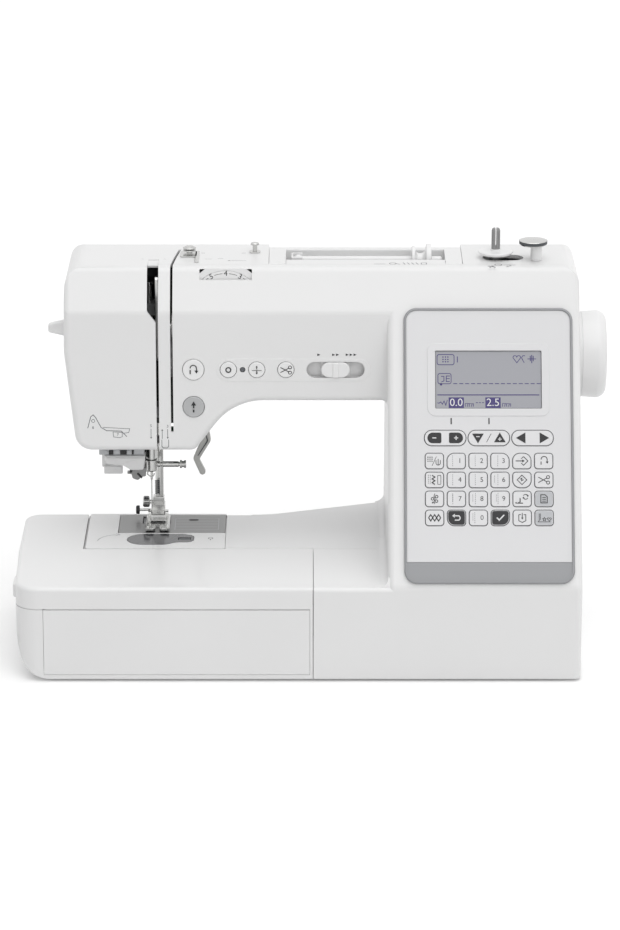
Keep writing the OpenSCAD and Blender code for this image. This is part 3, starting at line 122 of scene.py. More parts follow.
def rounded(corners: Sequence[Corner], step: float = ARC_STEP) -> list[Point]:
    """Rounds the corners of an anticlockwise outline.

    Args:
        corners: (across, up, radius) for each corner, or (across, up) for a sharp one.
        step: The largest angle between two points of an arc.

    Returns:
        The outline's points.  Their number depends on the angles and on which radii are over 0.
    """
    points: list[Point] = []
    for i, (x, y, radius) in enumerate(in_full(corners)):
        here = Vector((x, y))
        before = (Vector(corners[i - 1][:2]) - here).normalized()
        after = (Vector(corners[(i + 1) % len(corners)][:2]) - here).normalized()
        half = math.acos(max(-1.0, min(1.0, before.dot(after)))) / 2
        if radius <= 0 or half > math.radians(89.5):
            points.append((x, y))
            continue
        centre = here + (before + after).normalized() * radius / math.sin(half)
        start = here + before * radius / math.tan(half) - centre
        side = 1 if before.cross(after) < 0 else -1
        turn = side * (math.pi - 2 * half)
        steps = max(2, math.ceil(abs(turn) / step))
        for k in range(steps + 1):
            spoke = Matrix.Rotation(turn * k / steps, 2) @ start
            points.append(tuple(centre + spoke))
    return points


def inset(corners: Sequence[Corner], by: float) -> list[Corner]:
    """Moves an anticlockwise outline inwards, with its radii to match.

    Args:
        corners: The outline's corners.
        by: How far it moves, less than 0 for outwards.

    Returns:
        The new corners.
    """
    moved: list[Corner] = []
    for i, (x, y, radius) in enumerate(in_full(corners)):
        u = (Vector((x, y)) - Vector(corners[i - 1][:2])).normalized()
        v = (Vector(corners[(i + 1) % len(corners)][:2]) - Vector((x, y))).normalized()
        normals = Vector((-u.y, u.x)), Vector((-v.y, v.x))
        shift = (normals[0] + normals[1]) * by / (1 + normals[0].dot(normals[1]))
        bend = 1 if u.cross(v) > 0 else -1
        moved.append((x + shift.x, y + shift.y, max(0.0, radius - by * bend) if radius > 0 else 0.0))
    return moved


def oblong(low: Point, high: Point, radius: float) -> list[Corner]:
    """The corners of a rectangle, anticlockwise, all of one radius."""
    return [(*low, radius), (high[0], low[1], radius), (*high, radius), (low[0], high[1], radius)]


def circle(centre: Point, radius: float, sides: int = 48) -> list[Point]:
    """Points round a circle."""
    turns = (2 * math.pi * k / sides for k in range(sides))
    return [(centre[0] + radius * math.cos(t), centre[1] + radius * math.sin(t)) for t in turns]


# ---------------------------------------------------------------- solids
def place_object(name: str, data: bpy.types.ID) -> bpy.types.Object:
    """Makes an object of a mesh, curve, light or camera, and puts it in the scene.

    Args:
        name: The object's name.
        data: What it shows.

    Returns:
        The object.
    """
    made = bpy.data.objects.new(name, data)
    bpy.context.scene.collection.objects.link(made)
    return made


def to_object(bm: bmesh.types.BMesh, name: str = "tool", outward: bool = True) -> Mesh:
    """Turns a bmesh into an object and frees the bmesh.

    Args:
        bm: The mesh.
        name: The object's name.
        outward: Whether its faces are turned to point outwards.

    Returns:
        The object.
    """
    if outward:
        bmesh.ops.recalc_face_normals(bm, faces=bm.faces[:])
    mesh = bpy.data.meshes.new(name)
    bm.to_mesh(mesh)
    bm.free()
    return place_object(name, mesh)


def prism(axis: Axis, outline: Sequence[Point], low: float, high: float) -> Mesh:
    """Pushes an outline along an axis.

    Args:
        axis: The direction of the push.
        outline: The closed outline's points.
        low: Where the solid starts along the axis, in millimetres.
        high: Where it ends.

    Returns:
        The closed solid.
    """
    bm = bmesh.new()
    ends = [[bm.verts.new(axis.place(*p, along)) for p in outline] for along in (low, high)]
    bm.faces.new(ends[0])
    bm.faces.new(ends[1][::-1])
    for i in range(len(outline)):
        bm.faces.new((ends[0][i - 1], ends[0][i], ends[1][i], ends[1][i - 1]))
    return to_object(bm)


def slab(axis: Axis, corners: Sequence[Corner], low: float, high: float) -> Mesh:
    """Rounds an outline's corners and pushes it along an axis."""
    return prism(axis, rounded(corners), low, high)


def pillow(axis: Axis, corners: Sequence[Corner], low: float, high: float, rims: tuple[float, float]) -> Mesh:
    """Pushes an outline along an axis and rounds the rim at either end.

    Args:
        axis: The direction of the push.
        corners: The outline's corners.
        low: Where the solid starts along the axis.
        high: Where it ends.
        rims: The radius of the rim at the start and at the end, 0 for a sharp one.

    Returns:
        The closed solid.
    """
    rings: list[tuple[float, float]] = []
    for end, rim, way in ((low, rims[0], 1), (high, rims[1], -1)):
        quarter = [math.pi / 2 * k / RIM_STEPS for k in range(RIM_STEPS + 1)] if rim > 0 else [0.0]
        arc = [(rim * (1 - math.sin(t)), end + way * rim * (1 - math.cos(t))) for t in quarter]
        rings += arc if way > 0 else arc[::-1]
    bm = bmesh.new()
    made = []
    for by, along in rings:
        pairs = zip(inset(corners, by), in_full(corners))
        shrunk = [(x, y, max(r, 0.02) if old > 0 else 0.0) for (x, y, r), (_, _, old) in pairs]
        made.append([bm.verts.new(axis.place(*p, along)) for p in rounded(shrunk)])
    for lower, upper in zip(made, made[1:]):
        for i in range(len(lower)):
            bm.faces.new((lower[i - 1], lower[i], upper[i], upper[i - 1]))
    bm.faces.new(made[0])
    bm.faces.new(made[-1])
    return to_object(bm)


def block(low: Sequence[float], high: Sequence[float]) -> Mesh:
    """A box between two corners."""
    corners = oblong(tuple(low[:2]), tuple(high[:2]), 0)
    return prism(Z, [c[:2] for c in corners], low[2], high[2])


def rod(axis: Axis, centre: Point, radius: float, low: float, high: float, sides: int = 48) -> Mesh:
    """A round bar along an axis."""
    return prism(axis, circle(centre, radius, sides), low, high)


def lathe(axis: Axis, centre: Point, profile: Sequence[Corner], sides: int = 64) -> Mesh:
    """Turns a profile about an axis.

    Args:
        axis: The axis of the turn.
        centre: Where the axis passes, in the two other coordinates.
        profile: (radius, place along the axis, corner radius) in order, open, from axis to axis.
        sides: How many steps the turn has.

    Returns:
        The turned solid.
    """
    line = rounded(profile, math.radians(12))
    bm = bmesh.new()
    rings = []
    for radius, along in line:
        if radius < 1e-6:
            rings.append([bm.verts.new(axis.place(*centre, along))])
        else:
            rings.append([bm.verts.new(axis.place(*p, along)) for p in circle(centre, radius, sides)])
    for lower, upper in zip(rings, rings[1:]):
        for i in range(sides):
            quad = [
                lower[i - 1 if len(lower) > 1 else 0], lower[i if len(lower) > 1 else 0],
                upper[i if len(upper) > 1 else 0], upper[i - 1 if len(upper) > 1 else 0]]
            distinct = list(dict.fromkeys(quad))
            if len(distinct) > 2:
                bm.faces.new(distinct)
    return to_object(bm)


def discard(thing: Mesh) -> None:
    """Removes a working solid and its mesh.

    Args:
        thing: The solid.
    """
    mesh = thing.data
    bpy.data.objects.remove(thing)
    bpy.data.meshes.remove(mesh)


def apply_modifiers(target: Mesh) -> None:
    """Turns an object with modifiers into a plain mesh.

    Args:
        target: The object.
    """
    bpy.context.view_layer.update()
    shaped = target.evaluated_get(bpy.context.evaluated_depsgraph_get())
    mesh = bpy.data.meshes.new_from_object(shaped)
    target.modifiers.clear()
    old = target.data
    target.data = mesh
    bpy.data.meshes.remove(old)


def tidy(target: Mesh) -> Mesh:
    """Merges points that lie together and joins faces that lie in one plane.

    Args:
        target: The solid.

    Returns:
        The same solid.
    """
    bm = bmesh.new()
    bm.from_mesh(target.data)
    bmesh.ops.remove_doubles(bm, verts=bm.verts[:], dist=SAME_PLACE)
    bmesh.ops.dissolve_limit(bm, angle_limit=math.radians(0.6), verts=bm.verts[:], edges=bm.edges[:])
    bm.to_mesh(target.data)
    bm.free()
    return target


def combine(target: Mesh, tools: Iterable[Mesh], operation: str) -> Mesh:
    """Applies boolean steps to a solid and removes the tools.

    Args:
        target: The solid.
        tools: The solids that it is combined with, one after the other.
        operation: The boolean modifier's operation.

    Returns:
        The same solid.
    """
    for tool in tools:
        step = target.modifiers.new("step", "BOOLEAN")
        step.object = tool
        step.operation = operation
        step.solver = "EXACT"
        apply_modifiers(target)
        discard(tool)
    return target


def cut(target: Mesh, *tools: Mesh) -> Mesh:
    """Takes the tools out of the target."""
    return combine(target, tools, "DIFFERENCE")


def unite(target: Mesh, *tools: Mesh) -> Mesh:
    """Adds the tools to the target."""
    return combine(target, tools, "UNION")


def common(target: Mesh, *tools: Mesh) -> Mesh:
    """Keeps what the target and each tool share."""
    return combine(target, tools, "INTERSECT")


def copy_of(source: Mesh) -> Mesh:
    """A copy of a solid with a mesh of its own."""
    return place_object("tool", source.data.copy())


def gather(pieces: Sequence[Mesh]) -> Mesh:
    """Joins separate solids into one object without cutting them.

    Args:
        pieces: The solids, of which the first stays.

    Returns:
        The first solid's object, with the mesh of all.
    """
    bm = bmesh.new()
    for piece in pieces:
        bm.from_mesh(piece.data)
    joined = bpy.data.meshes.new("joined")
    bm.to_mesh(joined)
    bm.free()
    for piece in pieces[1:]:
        discard(piece)
    old = pieces[0].data
    pieces[0].data = joined
    bpy.data.meshes.remove(old)
    return pieces[0]


def moved(target: Mesh, matrix: Matrix) -> Mesh:
    """Moves a mesh's own points."""
    target.data.transform(matrix)
    return target


def soften(
    target: Mesh, width: float, chosen: Callable[[bmesh.types.BMEdge], bool] = lambda edge: True,
    angle: float = 25, segments: int = 4) -> Mesh:
    """Rounds a solid's sharp edges.

    Args:
        target: The solid.
        width: How far the rounding reaches from the edge, in millimetres.
        chosen: Says whether a sharp edge is one of those to round.
        angle: The smallest angle, in degrees, that counts as sharp.
        segments: The steps of the rounding.

    Returns:
        The same solid.
    """
    bm = bmesh.new()
    bm.from_mesh(tidy(target).data)
    least = math.radians(angle)
    sharp = [e for e in bm.edges if len(e.link_faces) == 2 and e.calc_face_angle(0.0) > least and chosen(e)]
    bmesh.ops.bevel(
        bm, geom=sharp, offset=width, offset_type="OFFSET", segments=segments, profile=0.5, affect="EDGES",
        clamp_overlap=True, material=-1)
    bmesh.ops.remove_doubles(bm, verts=bm.verts[:], dist=SAME_PLACE)
    bm.normal_update()
    bm.to_mesh(target.data)
    bm.free()
    return target


def soft_block(low: Sequence[float], high: Sequence[float], width: float, segments: int = 4) -> Mesh:
    """A box between two corners, with rounded edges."""
    return soften(block(low, high), width, segments=segments)


def tube(points: Sequence[Sequence[float]], radius: float, sides: int = 12) -> Mesh:
    """A round bar bent along points in the part's frame.

    Args:
        points: The points on its middle line.
        radius: Its radius.
        sides: How many sides it has.

    Returns:
        The closed solid.
    """
    bm = bmesh.new()
    line = [Vector(p) for p in points]
    rings = []
    side = Vector((0, 0, 1)) if abs((line[1] - line[0]).normalized().z) < 0.9 else Vector((1, 0, 0))
    for i, here in enumerate(line):
        along = (line[min(i + 1, len(line) - 1)] - line[max(i - 1, 0)]).normalized()
        across = along.cross(side).normalized()
        side = across.cross(along).normalized()
        rings.append([bm.verts.new(here + across * u + side * v) for u, v in circle((0, 0), radius, sides)])
    for lower, upper in zip(rings, rings[1:]):
        for i in range(sides):
            bm.faces.new((lower[i - 1], lower[i], upper[i], upper[i - 1]))
    bm.faces.new(rings[0][::-1])
    bm.faces.new(rings[-1])
    return to_object(bm)


# ---------------------------------------------------------------- finishes
@dataclass(frozen=True)
class Finish:
    """How one material looks.

    Attributes:
        color: Base colour, linear red, green and blue.
        rough: Roughness.
        metal: 1 for bare metal, 0 for anything else.
        grain: Size of the fine texture, in grains to the metre.
        depth: Strength of the fine texture.
        brushed: How much longer than wide a grain is, along X.
        clear: How much light goes through.
        coat: Strength of a clear coat.
    """

    color: tuple[float, float, float]
    rough: float = 0.4
    metal: float = 0.0
    grain: float = 2500.0
    depth: float = 0.02
    brushed: float = 1.0
    clear: float = 0.0
    coat: float = 0.0


FINISHES: dict[str, Finish] = {
    "white_cover": Finish((0.80, 0.80, 0.80), 0.36, coat=0.15),
    "pan_plastic": Finish((0.70, 0.70, 0.70), 0.5, depth=0.08),
    "white_button": Finish((0.83, 0.83, 0.83), 0.3, coat=0.2),
    "grey_button": Finish((0.47, 0.475, 0.48), 0.4),
    "lever_grey": Finish((0.58, 0.58, 0.56), 0.4),
    "panel_white": Finish((0.72, 0.72, 0.73), 0.5),
    "panel_silver": Finish((0.28, 0.285, 0.295), 0.35, metal=0.2, grain=6000),
    "key_rubber": Finish((0.74, 0.74, 0.75), 0.5),
    "display_glass": Finish((0.30, 0.305, 0.335), 0.12, coat=0.3, depth=0.0),
    "clear_plastic": Finish((0.75, 0.78, 0.8), 0.12, clear=0.75, depth=0.0),
    "smoked_plastic": Finish((0.13, 0.13, 0.14), 0.12, clear=0.35, depth=0.0),
    "bright_steel": Finish((0.58, 0.58, 0.57), 0.2, metal=1.0, grain=900),
    "steel": Finish((0.52, 0.52, 0.53), 0.32, metal=1.0, grain=1500, brushed=12.0, depth=0.05),
    "plate_steel": Finish((0.27, 0.27, 0.27), 0.38, metal=0.5, grain=1500, brushed=12.0, depth=0.05),
    "frame_cast": Finish((0.45, 0.46, 0.47), 0.55, metal=0.8, grain=700, depth=0.25),
    "bronze": Finish((0.55, 0.36, 0.14), 0.4, metal=1.0, grain=3000),
    "belt_rubber": Finish((0.012, 0.012, 0.013), 0.75, grain=1800, depth=0.1),
    "foot_rubber": Finish((0.03, 0.03, 0.032), 0.8, grain=1800, depth=0.1),
    "motor_steel": Finish((0.07, 0.075, 0.08), 0.4, metal=0.4, grain=1200),
    "dark_plastic": Finish((0.012, 0.012, 0.013), 0.45, grain=3000, depth=0.05),
    "board": Finish((0.02, 0.12, 0.05), 0.35, coat=0.3),
    "print_black": Finish((0.015, 0.015, 0.017), 0.55, depth=0.0),
    "print_grey": Finish((0.11, 0.115, 0.125), 0.55, depth=0.0),
    "print_pale": Finish((0.50, 0.51, 0.53), 0.5, depth=0.0),
    "icon_violet": Finish((0.035, 0.022, 0.15), 0.3, depth=0.0),
    "thread_grey": Finish((0.33, 0.34, 0.35), 0.5),
}


def grain_group() -> bpy.types.NodeTree:
    """The shader group that gives every finish its fine texture.

    Returns:
        A node group with a colour, roughness, scale, depth and stretch going in, and the varied
        colour, roughness and normal coming out.
    """
    group = bpy.data.node_groups.new("surface_grain", "ShaderNodeTree")
    for name in ("Color", "Roughness", "Scale", "Depth", "Stretch"):
        kind = "NodeSocketColor" if name == "Color" else "NodeSocketFloat"
        group.interface.new_socket(name=name, in_out="INPUT", socket_type=kind)
    for name, kind in (("Color", "Color"), ("Roughness", "Float"), ("Normal", "Vector")):
        group.interface.new_socket(name=name, in_out="OUTPUT", socket_type="NodeSocket" + kind)
    node = group.nodes.new
    link = group.links.new
    given, out = node("NodeGroupInput"), node("NodeGroupOutput")
    place, split = node("ShaderNodeTexCoord"), node("ShaderNodeSeparateXYZ")
    join = node("ShaderNodeCombineXYZ")
    shrink = node("ShaderNodeMath")
    shrink.operation = "DIVIDE"
    link(place.outputs["Object"], split.inputs[0])
    link(split.outputs["X"], shrink.inputs[0])
    link(given.outputs["Stretch"], shrink.inputs[1])
    link(shrink.outputs[0], join.inputs["X"])
    for name in "YZ":
        link(split.outputs[name], join.inputs[name])
    fine, broad = node("ShaderNodeTexNoise"), node("ShaderNodeTexNoise")
    fine.inputs["Detail"].default_value = 3
    broad.inputs["Scale"].default_value = 9
    link(join.outputs[0], fine.inputs["Vector"])
    link(given.outputs["Scale"], fine.inputs["Scale"])
    link(place.outputs["Object"], broad.inputs["Vector"])
    bump = node("ShaderNodeBump")
    bump.inputs["Distance"].default_value = 0.0004
    link(given.outputs["Depth"], bump.inputs["Strength"])
    link(fine.outputs[0], bump.inputs["Height"])
    shade, mix = node("ShaderNodeMapRange"), node("ShaderNodeMix")
    shade.inputs["To Min"].default_value = 0.97
    shade.inputs["To Max"].default_value = 1.03
    mix.data_type = "RGBA"
    mix.blend_type = "MULTIPLY"
    mix.inputs["Factor"].default_value = 1
    link(broad.outputs[0], shade.inputs["Value"])
    link(given.outputs["Color"], mix.inputs[6])
    link(shade.outputs[0], mix.inputs[7])
    rough = node("ShaderNodeMath")
    rough.operation = "MULTIPLY"
    link(given.outputs["Roughness"], rough.inputs[0])
    link(shade.outputs[0], rough.inputs[1])
    link(mix.outputs[2], out.inputs["Color"])
    link(rough.outputs[0], out.inputs["Roughness"])
    link(bump.outputs[0], out.inputs["Normal"])
    return group


class Palette:
    """The materials, each made the first time it is asked for."""

    def __init__(self, finishes: dict[str, Finish]) -> None:
        """Keeps the finishes.

        Args:
            finishes: How each material looks.
        """
        self.finishes = finishes
        self.group = grain_group()
        self.made: dict[str, bpy.types.Material] = {}

    def __getitem__(self, name: str) -> bpy.types.Material:
        """Gives one material.

        Args:
            name: The material's name.

        Returns:
            The material.
        """
        if name not in self.made:
            self.made[name] = self.build(name, self.finishes[name])
        return self.made[name]

    def build(self, name: str, finish: Finish) -> bpy.types.Material:
        """Builds one material.

        Args:
            name: The material's name.
            finish: What it looks like.

        Returns:
            A material on object coordinates.
        """
        material = bpy.data.materials.new(name)
        material.use_nodes = True
        tree = material.node_tree
        shader = tree.nodes["Principled BSDF"]
        grain = tree.nodes.new("ShaderNodeGroup")
        grain.node_tree = self.group
        given = {
            "Color": (*finish.color, 1), "Roughness": finish.rough, "Scale": finish.grain,
            "Depth": finish.depth, "Stretch": finish.brushed}
        for name, value in given.items():
            grain.inputs[name].default_value = value
        for made, used in (("Color", "Base Color"), ("Roughness", "Roughness"), ("Normal", "Normal")):
            tree.links.new(grain.outputs[made], shader.inputs[used])
        shader.inputs["Metallic"].default_value = finish.metal
        shader.inputs["Transmission Weight"].default_value = finish.clear
        shader.inputs["Coat Weight"].default_value = finish.coat
        return material


# ---------------------------------------------------------------- pieces
@dataclass
class SubAssembly:
    """A group of pieces that are built and dressed together.

    Attributes:
        palette: The materials.
    """

    palette: Palette

    def dress(self, target: Mesh, name: str, look: str, *nodes: str, body: str = "", slot: str = "") -> None:
        """Makes a working solid a piece of the model, in metres.

        Args:
            target: The solid, in millimetres.
            name: The piece's name.
            look: Its finish.
            nodes: The CAD nodes that it stands for.
            body: The CAD body that it rides on, if it isn't that of its first node or the machine.
            slot: The record's material slot, if it isn't that of its first node or the finish's own.
        """
        bm = bmesh.new()
        bm.from_mesh(target.data)
        bmesh.ops.remove_doubles(bm, verts=bm.verts[:], dist=SAME_PLACE / 2)
        bmesh.ops.dissolve_degenerate(bm, edges=bm.edges[:], dist=SAME_PLACE / 2)
        for face in bm.faces:
            face.smooth = True
        for edge in bm.edges:
            edge.smooth = len(edge.link_faces) == 2 and edge.calc_face_angle(0.0) < SMOOTH_LIMIT
        bm.to_mesh(target.data)
        bm.free()
        target.data.transform(Matrix.Scale(MM, 4))
        weigh = target.modifiers.new("weigh", "WEIGHTED_NORMAL")
        weigh.keep_sharp = True
        apply_modifiers(target)
        self.hand_over(
            target, name, look, body or (BODY_OF[nodes[0]] if nodes else "machine"),
            slot or (SLOT_OF[nodes[0]] if nodes else look), nodes)

    def mark(
        self, pen: "Pen", name: str, look: str, body: str = "machine", slot: str = "white_cover") -> None:
        """Makes a pen's marks a piece of the model.

        Args:
            pen: The pen that drew them.
            name: The piece's name.
            look: Its finish.
            body: The CAD body that it rides on.
            slot: The record's material slot.
        """
        marks = to_object(pen.bm, name, outward=False)
        marks.data.transform(Matrix.Scale(MM, 4))
        self.hand_over(marks, name, look, body, slot)

    def hand_over(
        self, piece: Mesh, name: str, look: str, body: str, slot: str, nodes: Sequence[str] = ()) -> None:
        """Names a finished piece, gives it its material and ties it to the CAD.

        Args:
            piece: The piece, in metres.
            name: Its name.
            look: Its finish, unless it has a material already.
            body: The CAD body that it rides on.
            slot: The record's material slot; not used.
            nodes: The CAD nodes that it stands for.
        """
        piece.name = name
        piece.data.name = name
        if not piece.data.materials:
            piece.data.materials.append(self.palette[look])
        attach(piece, body)
        if nodes:
            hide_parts(*nodes)
        LOG.info("%s: %d faces", name, len(piece.data.polygons))


# ---------------------------------------------------------------- repeats
def ring_tree(turns: Vector) -> bpy.types.NodeTree:
    """A node tree that sets copies of a mesh evenly round an axis through the origin.

    Args:
        turns: The axis of the ring.

    Returns:
        The tree, with the number of copies and their material as named inputs.
    """
    tree = bpy.data.node_groups.new("ring_of_copies", "GeometryNodeTree")
    for way, name, kind in (
        ("INPUT", "Geometry", "NodeSocketGeometry"), ("INPUT", "Copies", "NodeSocketInt"),
        ("INPUT", "Step", "NodeSocketFloat"), ("INPUT", "Finish", "NodeSocketMaterial"),
        ("OUTPUT", "Geometry", "NodeSocketGeometry")):
        tree.interface.new_socket(name=name, in_out=way, socket_type=kind)
    node, link = tree.nodes.new, tree.links.new
    given, out = node("NodeGroupInput"), node("NodeGroupOutput")
    points, index = node("GeometryNodePoints"), node("GeometryNodeInputIndex")
    angle, turn = node("ShaderNodeMath"), node("FunctionNodeAxisAngleToRotation")
    angle.operation = "MULTIPLY"
    turn.inputs["Axis"].default_value = turns
    copies, real = node("GeometryNodeInstanceOnPoints"), node("GeometryNodeRealizeInstances")
    dress = node("GeometryNodeSetMaterial")
    link(given.outputs["Copies"], points.inputs["Count"])
    link(index.outputs[0], angle.inputs[0])
    link(given.outputs["Step"], angle.inputs[1])
    link(angle.outputs[0], turn.inputs["Angle"])
    link(points.outputs[0], copies.inputs["Points"])
    link(given.outputs["Geometry"], copies.inputs["Instance"])
    link(turn.outputs[0], copies.inputs["Rotation"])
    link(copies.outputs[0], real.inputs[0])
    link(real.outputs[0], dress.inputs["Geometry"])
    link(given.outputs["Finish"], dress.inputs["Material"])
    link(dress.outputs[0], out.inputs[0])
    return tree


def spread(one: Mesh, count: int, axis: Vector, material: bpy.types.Material) -> Mesh:
    """Sets copies of a mesh evenly round an axis through the origin.

    Args:
        one: The mesh to repeat.
        count: How many copies.
        axis: The axis of the ring.
        material: The copies' material.

    Returns:
        The ring as a plain mesh.
    """
    modifier = one.modifiers.new("ring", "NODES")
    modifier.node_group = ring_tree(axis)
    given = {"Copies": count, "Step": 2 * math.pi / count, "Finish": material}
    for socket in modifier.node_group.interface.items_tree:
        if socket.in_out == "INPUT" and socket.name in given:
            modifier[socket.identifier] = given[socket.name]
    apply_modifiers(one)
    return one


# ---------------------------------------------------------------- stage
CAMERA_AT = Vector((-1.541, -2677.398, 969.804)) * MM
CAMERA_TILT = math.radians(72.5)
CAMERA_LENS = 154.733


@dataclass(frozen=True)
class Lamp:
    """One broad, even light.

    Attributes:
        name: The lamp's name.
        toward: The way from the object to the lamp.
        strength: Its power on a square metre.
        spread: How wide it looks, in degrees.
    """

    name: str
    toward: tuple[float, float, float]
    strength: float
    spread: float


LAMPS = (Lamp("key", (0.45, -1.6, 1.6), 0.5, 40), Lamp("top", (0.1, -0.3, 2.4), 0.95, 60))
SKY_LEFT, SKY_RIGHT = 0.43, 0.79
FLOOR_WHITE = 0.94
FLOOR_BOUNCE = 0.8
FLOOR_LIFT = 0.12
FLOOR_REACH = 9.0


def seen_directly(tree: bpy.types.NodeTree) -> bpy.types.NodeSocket:
    """A value that is 1 for what the camera, a mirror or a pane of glass shows.

    Args:
        tree: The tree that needs the value.

    Returns:
        The socket that gives it.
    """
    path = tree.nodes.new("ShaderNodeLightPath")
    seen = path.outputs["Is Camera Ray"]
    for name in ("Is Glossy Ray", "Is Transmission Ray"):
        either = tree.nodes.new("ShaderNodeMath")
        either.operation = "MAXIMUM"
        tree.links.new(seen, either.inputs[0])
        tree.links.new(path.outputs[name], either.inputs[1])
        seen = either.outputs[0]
    return seen


def by_sight(tree: bpy.types.NodeTree, hidden: float, shown: float) -> bpy.types.Node:
    """A value that differs between what lights the object and what is seen directly.

    Args:
        tree: The tree that needs the value.
        hidden: The value for the light that reaches the object.
        shown: The value for what is seen directly.

    Returns:
        The node whose only output gives it.
    """
    choice = tree.nodes.new("ShaderNodeMapRange")
    choice.inputs["To Min"].default_value = hidden
    choice.inputs["To Max"].default_value = shown
    tree.links.new(seen_directly(tree), choice.inputs["Value"])
    return choice


def light_sky() -> None:
    """Makes a pale sky, dimmer at the left, that shows as white when it is seen directly."""
    world = bpy.data.worlds.new("studio")
    bpy.context.scene.world = world
    world.use_nodes = True
    tree = world.node_tree
    background = tree.nodes["Background"]
    background.inputs["Color"].default_value = (1, 1, 1, 1)
    strength = by_sight(tree, SKY_LEFT, 1)
    tree.links.new(strength.outputs[0], background.inputs["Strength"])
    place, split = tree.nodes.new("ShaderNodeTexCoord"), tree.nodes.new("ShaderNodeSeparateXYZ")
    across = tree.nodes.new("ShaderNodeMapRange")
    across.inputs["From Min"].default_value = -1
    across.inputs["To Min"].default_value = SKY_LEFT
    across.inputs["To Max"].default_value = SKY_RIGHT
    tree.links.new(place.outputs["Generated"], split.inputs[0])
    tree.links.new(split.outputs["X"], across.inputs["Value"])
    tree.links.new(across.outputs[0], strength.inputs["To Min"])


def lay_floor() -> None:
    """Lays the white floor that the machine stands on."""
    reach = FLOOR_REACH / MM
    floor = block((-reach, -reach, -1), (reach, reach, 0))
    floor.data.transform(Matrix.Scale(MM, 4))
    floor.name = "floor"
    paint = bpy.data.materials.new("floor_paint")
    paint.use_nodes = True
    tree = paint.node_tree
    shader = tree.nodes["Principled BSDF"]
    shader.inputs["Emission Color"].default_value = (1, 1, 1, 1)
    tree.links.new(by_sight(tree, FLOOR_BOUNCE, FLOOR_WHITE).outputs[0], shader.inputs["Base Color"])
    tree.links.new(by_sight(tree, 0, FLOOR_LIFT).outputs[0], shader.inputs["Emission Strength"])
    shader.inputs["Roughness"].default_value = 1
    shader.inputs["Specular IOR Level"].default_value = 0
    floor.data.materials.append(paint)
    floor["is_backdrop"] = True


def build_stage() -> None:
    """Sets the floor, the lamps, the world and the camera."""
    scene = bpy.context.scene
    scene.view_settings.view_transform = "Standard"
    light_sky()
    lay_floor()
    for lamp in LAMPS:
        light = bpy.data.lights.new(lamp.name, "SUN")
        light.energy = lamp.strength
        light.angle = math.radians(lamp.spread)
        holder = place_object(lamp.name, light)
        holder.location = lamp.toward
        holder.rotation_euler = Vector(lamp.toward).to_track_quat("Z", "Y").to_euler()
    camera = bpy.data.cameras.new("camera")
    camera.lens = CAMERA_LENS
    camera.clip_end = 20
    eye = place_object("camera", camera)
    eye.location = CAMERA_AT
    eye.rotation_euler = (CAMERA_TILT, 0, 0)
    scene.camera = eye


# ---------------------------------------------------------------- sizes, in millimetres
WALL = 2.5
SEAM = 0.15
X_LEFT, X_RIGHT, X_WHEEL = -206.5, 185.0, 206.5
Y_FRONT, Y_BACK = -97.5, 97.5
Y_ARM, Y_ARM_BACK, Y_SEAM, Y_TOP = -12.0, 80.0, 10.0, 2.52
BED_Z, ARM_Z, HEAD_Z, CREASE_Z, TOP_Z = 68.0, 175.5, 139.5, 239.4, 268.5
BASE_Z = 2.0
X_HEAD, X_HEAD_RIGHT, X_COLUMN = -172.5, -82.0, 52.0
X_SEAM, X_FREE = 0.9, -160.8
Y_FREE, Y_FREE_BACK = -13.5, 66.5
FREE_Z = 24.0
X_NEEDLE, Y_NEEDLE, SHAFT_Z = -114.5, 40.0, 195.5
SLOT_X0, SLOT_X1 = -108.4, -106.6
DIAL_X, DIAL_Z, DIAL_R, DIAL_Y = -59.9, 240.5, 26.0, 1.5
WINDOW_HALF = 18.2
BUTTON_Z, START_Z = 198.8, 171.9
BIG_BUTTON_X, BIG_BUTTON_R = -82.5, 7.4
REINFORCE_X, LIGHT_X, NEEDLE_BUTTON_X, CUTTER_X = -58.2, -48.3, -38.5, -18.3
SMALL_BUTTON_R, LIGHT_R = 5.6, 1.6
SPEED_X, SPEED_W, SPEED_H = 16.2, 40.3, 11.4
RECESS_X0, RECESS_X1, RECESS_Z = -30.3, 104.7, 252.5
HANDLE_Y0, HANDLE_W = 11.5, 11.6
SPOOL_Y0 = 22.5
SPOOL_X, SPOOL_Y, SPOOL_Z = -9.7, 40.0, 264.0
WINDER_X = 128.0
HANDLE_PIVOT = (17.5, 262.5)
STOP_X, STOP_Y = 156.0, 22.0
TILT = math.radians(26.51)
SLOPE = Matrix.Translation((0, Y_ARM, CREASE_Z)) @ Matrix.Rotation(math.pi / 2 - TILT, 4, "X")

ARM_SIDE: list[Corner] = [
    (Y_ARM, HEAD_Z), (Y_ARM_BACK, HEAD_Z), (Y_ARM_BACK, TOP_Z, 16), (Y_TOP, TOP_Z, 6), (Y_ARM, CREASE_Z, 10)]
ARM_FRONT: list[Corner] = [
    (-164.5, HEAD_Z, 12), (X_HEAD_RIGHT, HEAD_Z, 6), (-54.5, ARM_Z, 42), (X_COLUMN, ARM_Z, 4),
    (X_COLUMN, 166), (62, 166), (62, TOP_Z), (X_HEAD + 1, TOP_Z, 14), (X_HEAD, 210.45, 60)]
COLUMN_SIDE: list[Corner] = [
    (Y_FRONT, BASE_Z), (Y_BACK, BASE_Z), (Y_BACK, BED_Z), (Y_ARM_BACK, ARM_Z, 60), (Y_ARM_BACK, TOP_Z, 16),
    (Y_TOP, TOP_Z, 6), (Y_FRONT, BED_Z, 12)]
COLUMN_FRONT: list[Corner] = [(X_COLUMN, BASE_Z), (X_RIGHT, BASE_Z), (X_RIGHT, TOP_Z, 12), (X_COLUMN, TOP_Z)]
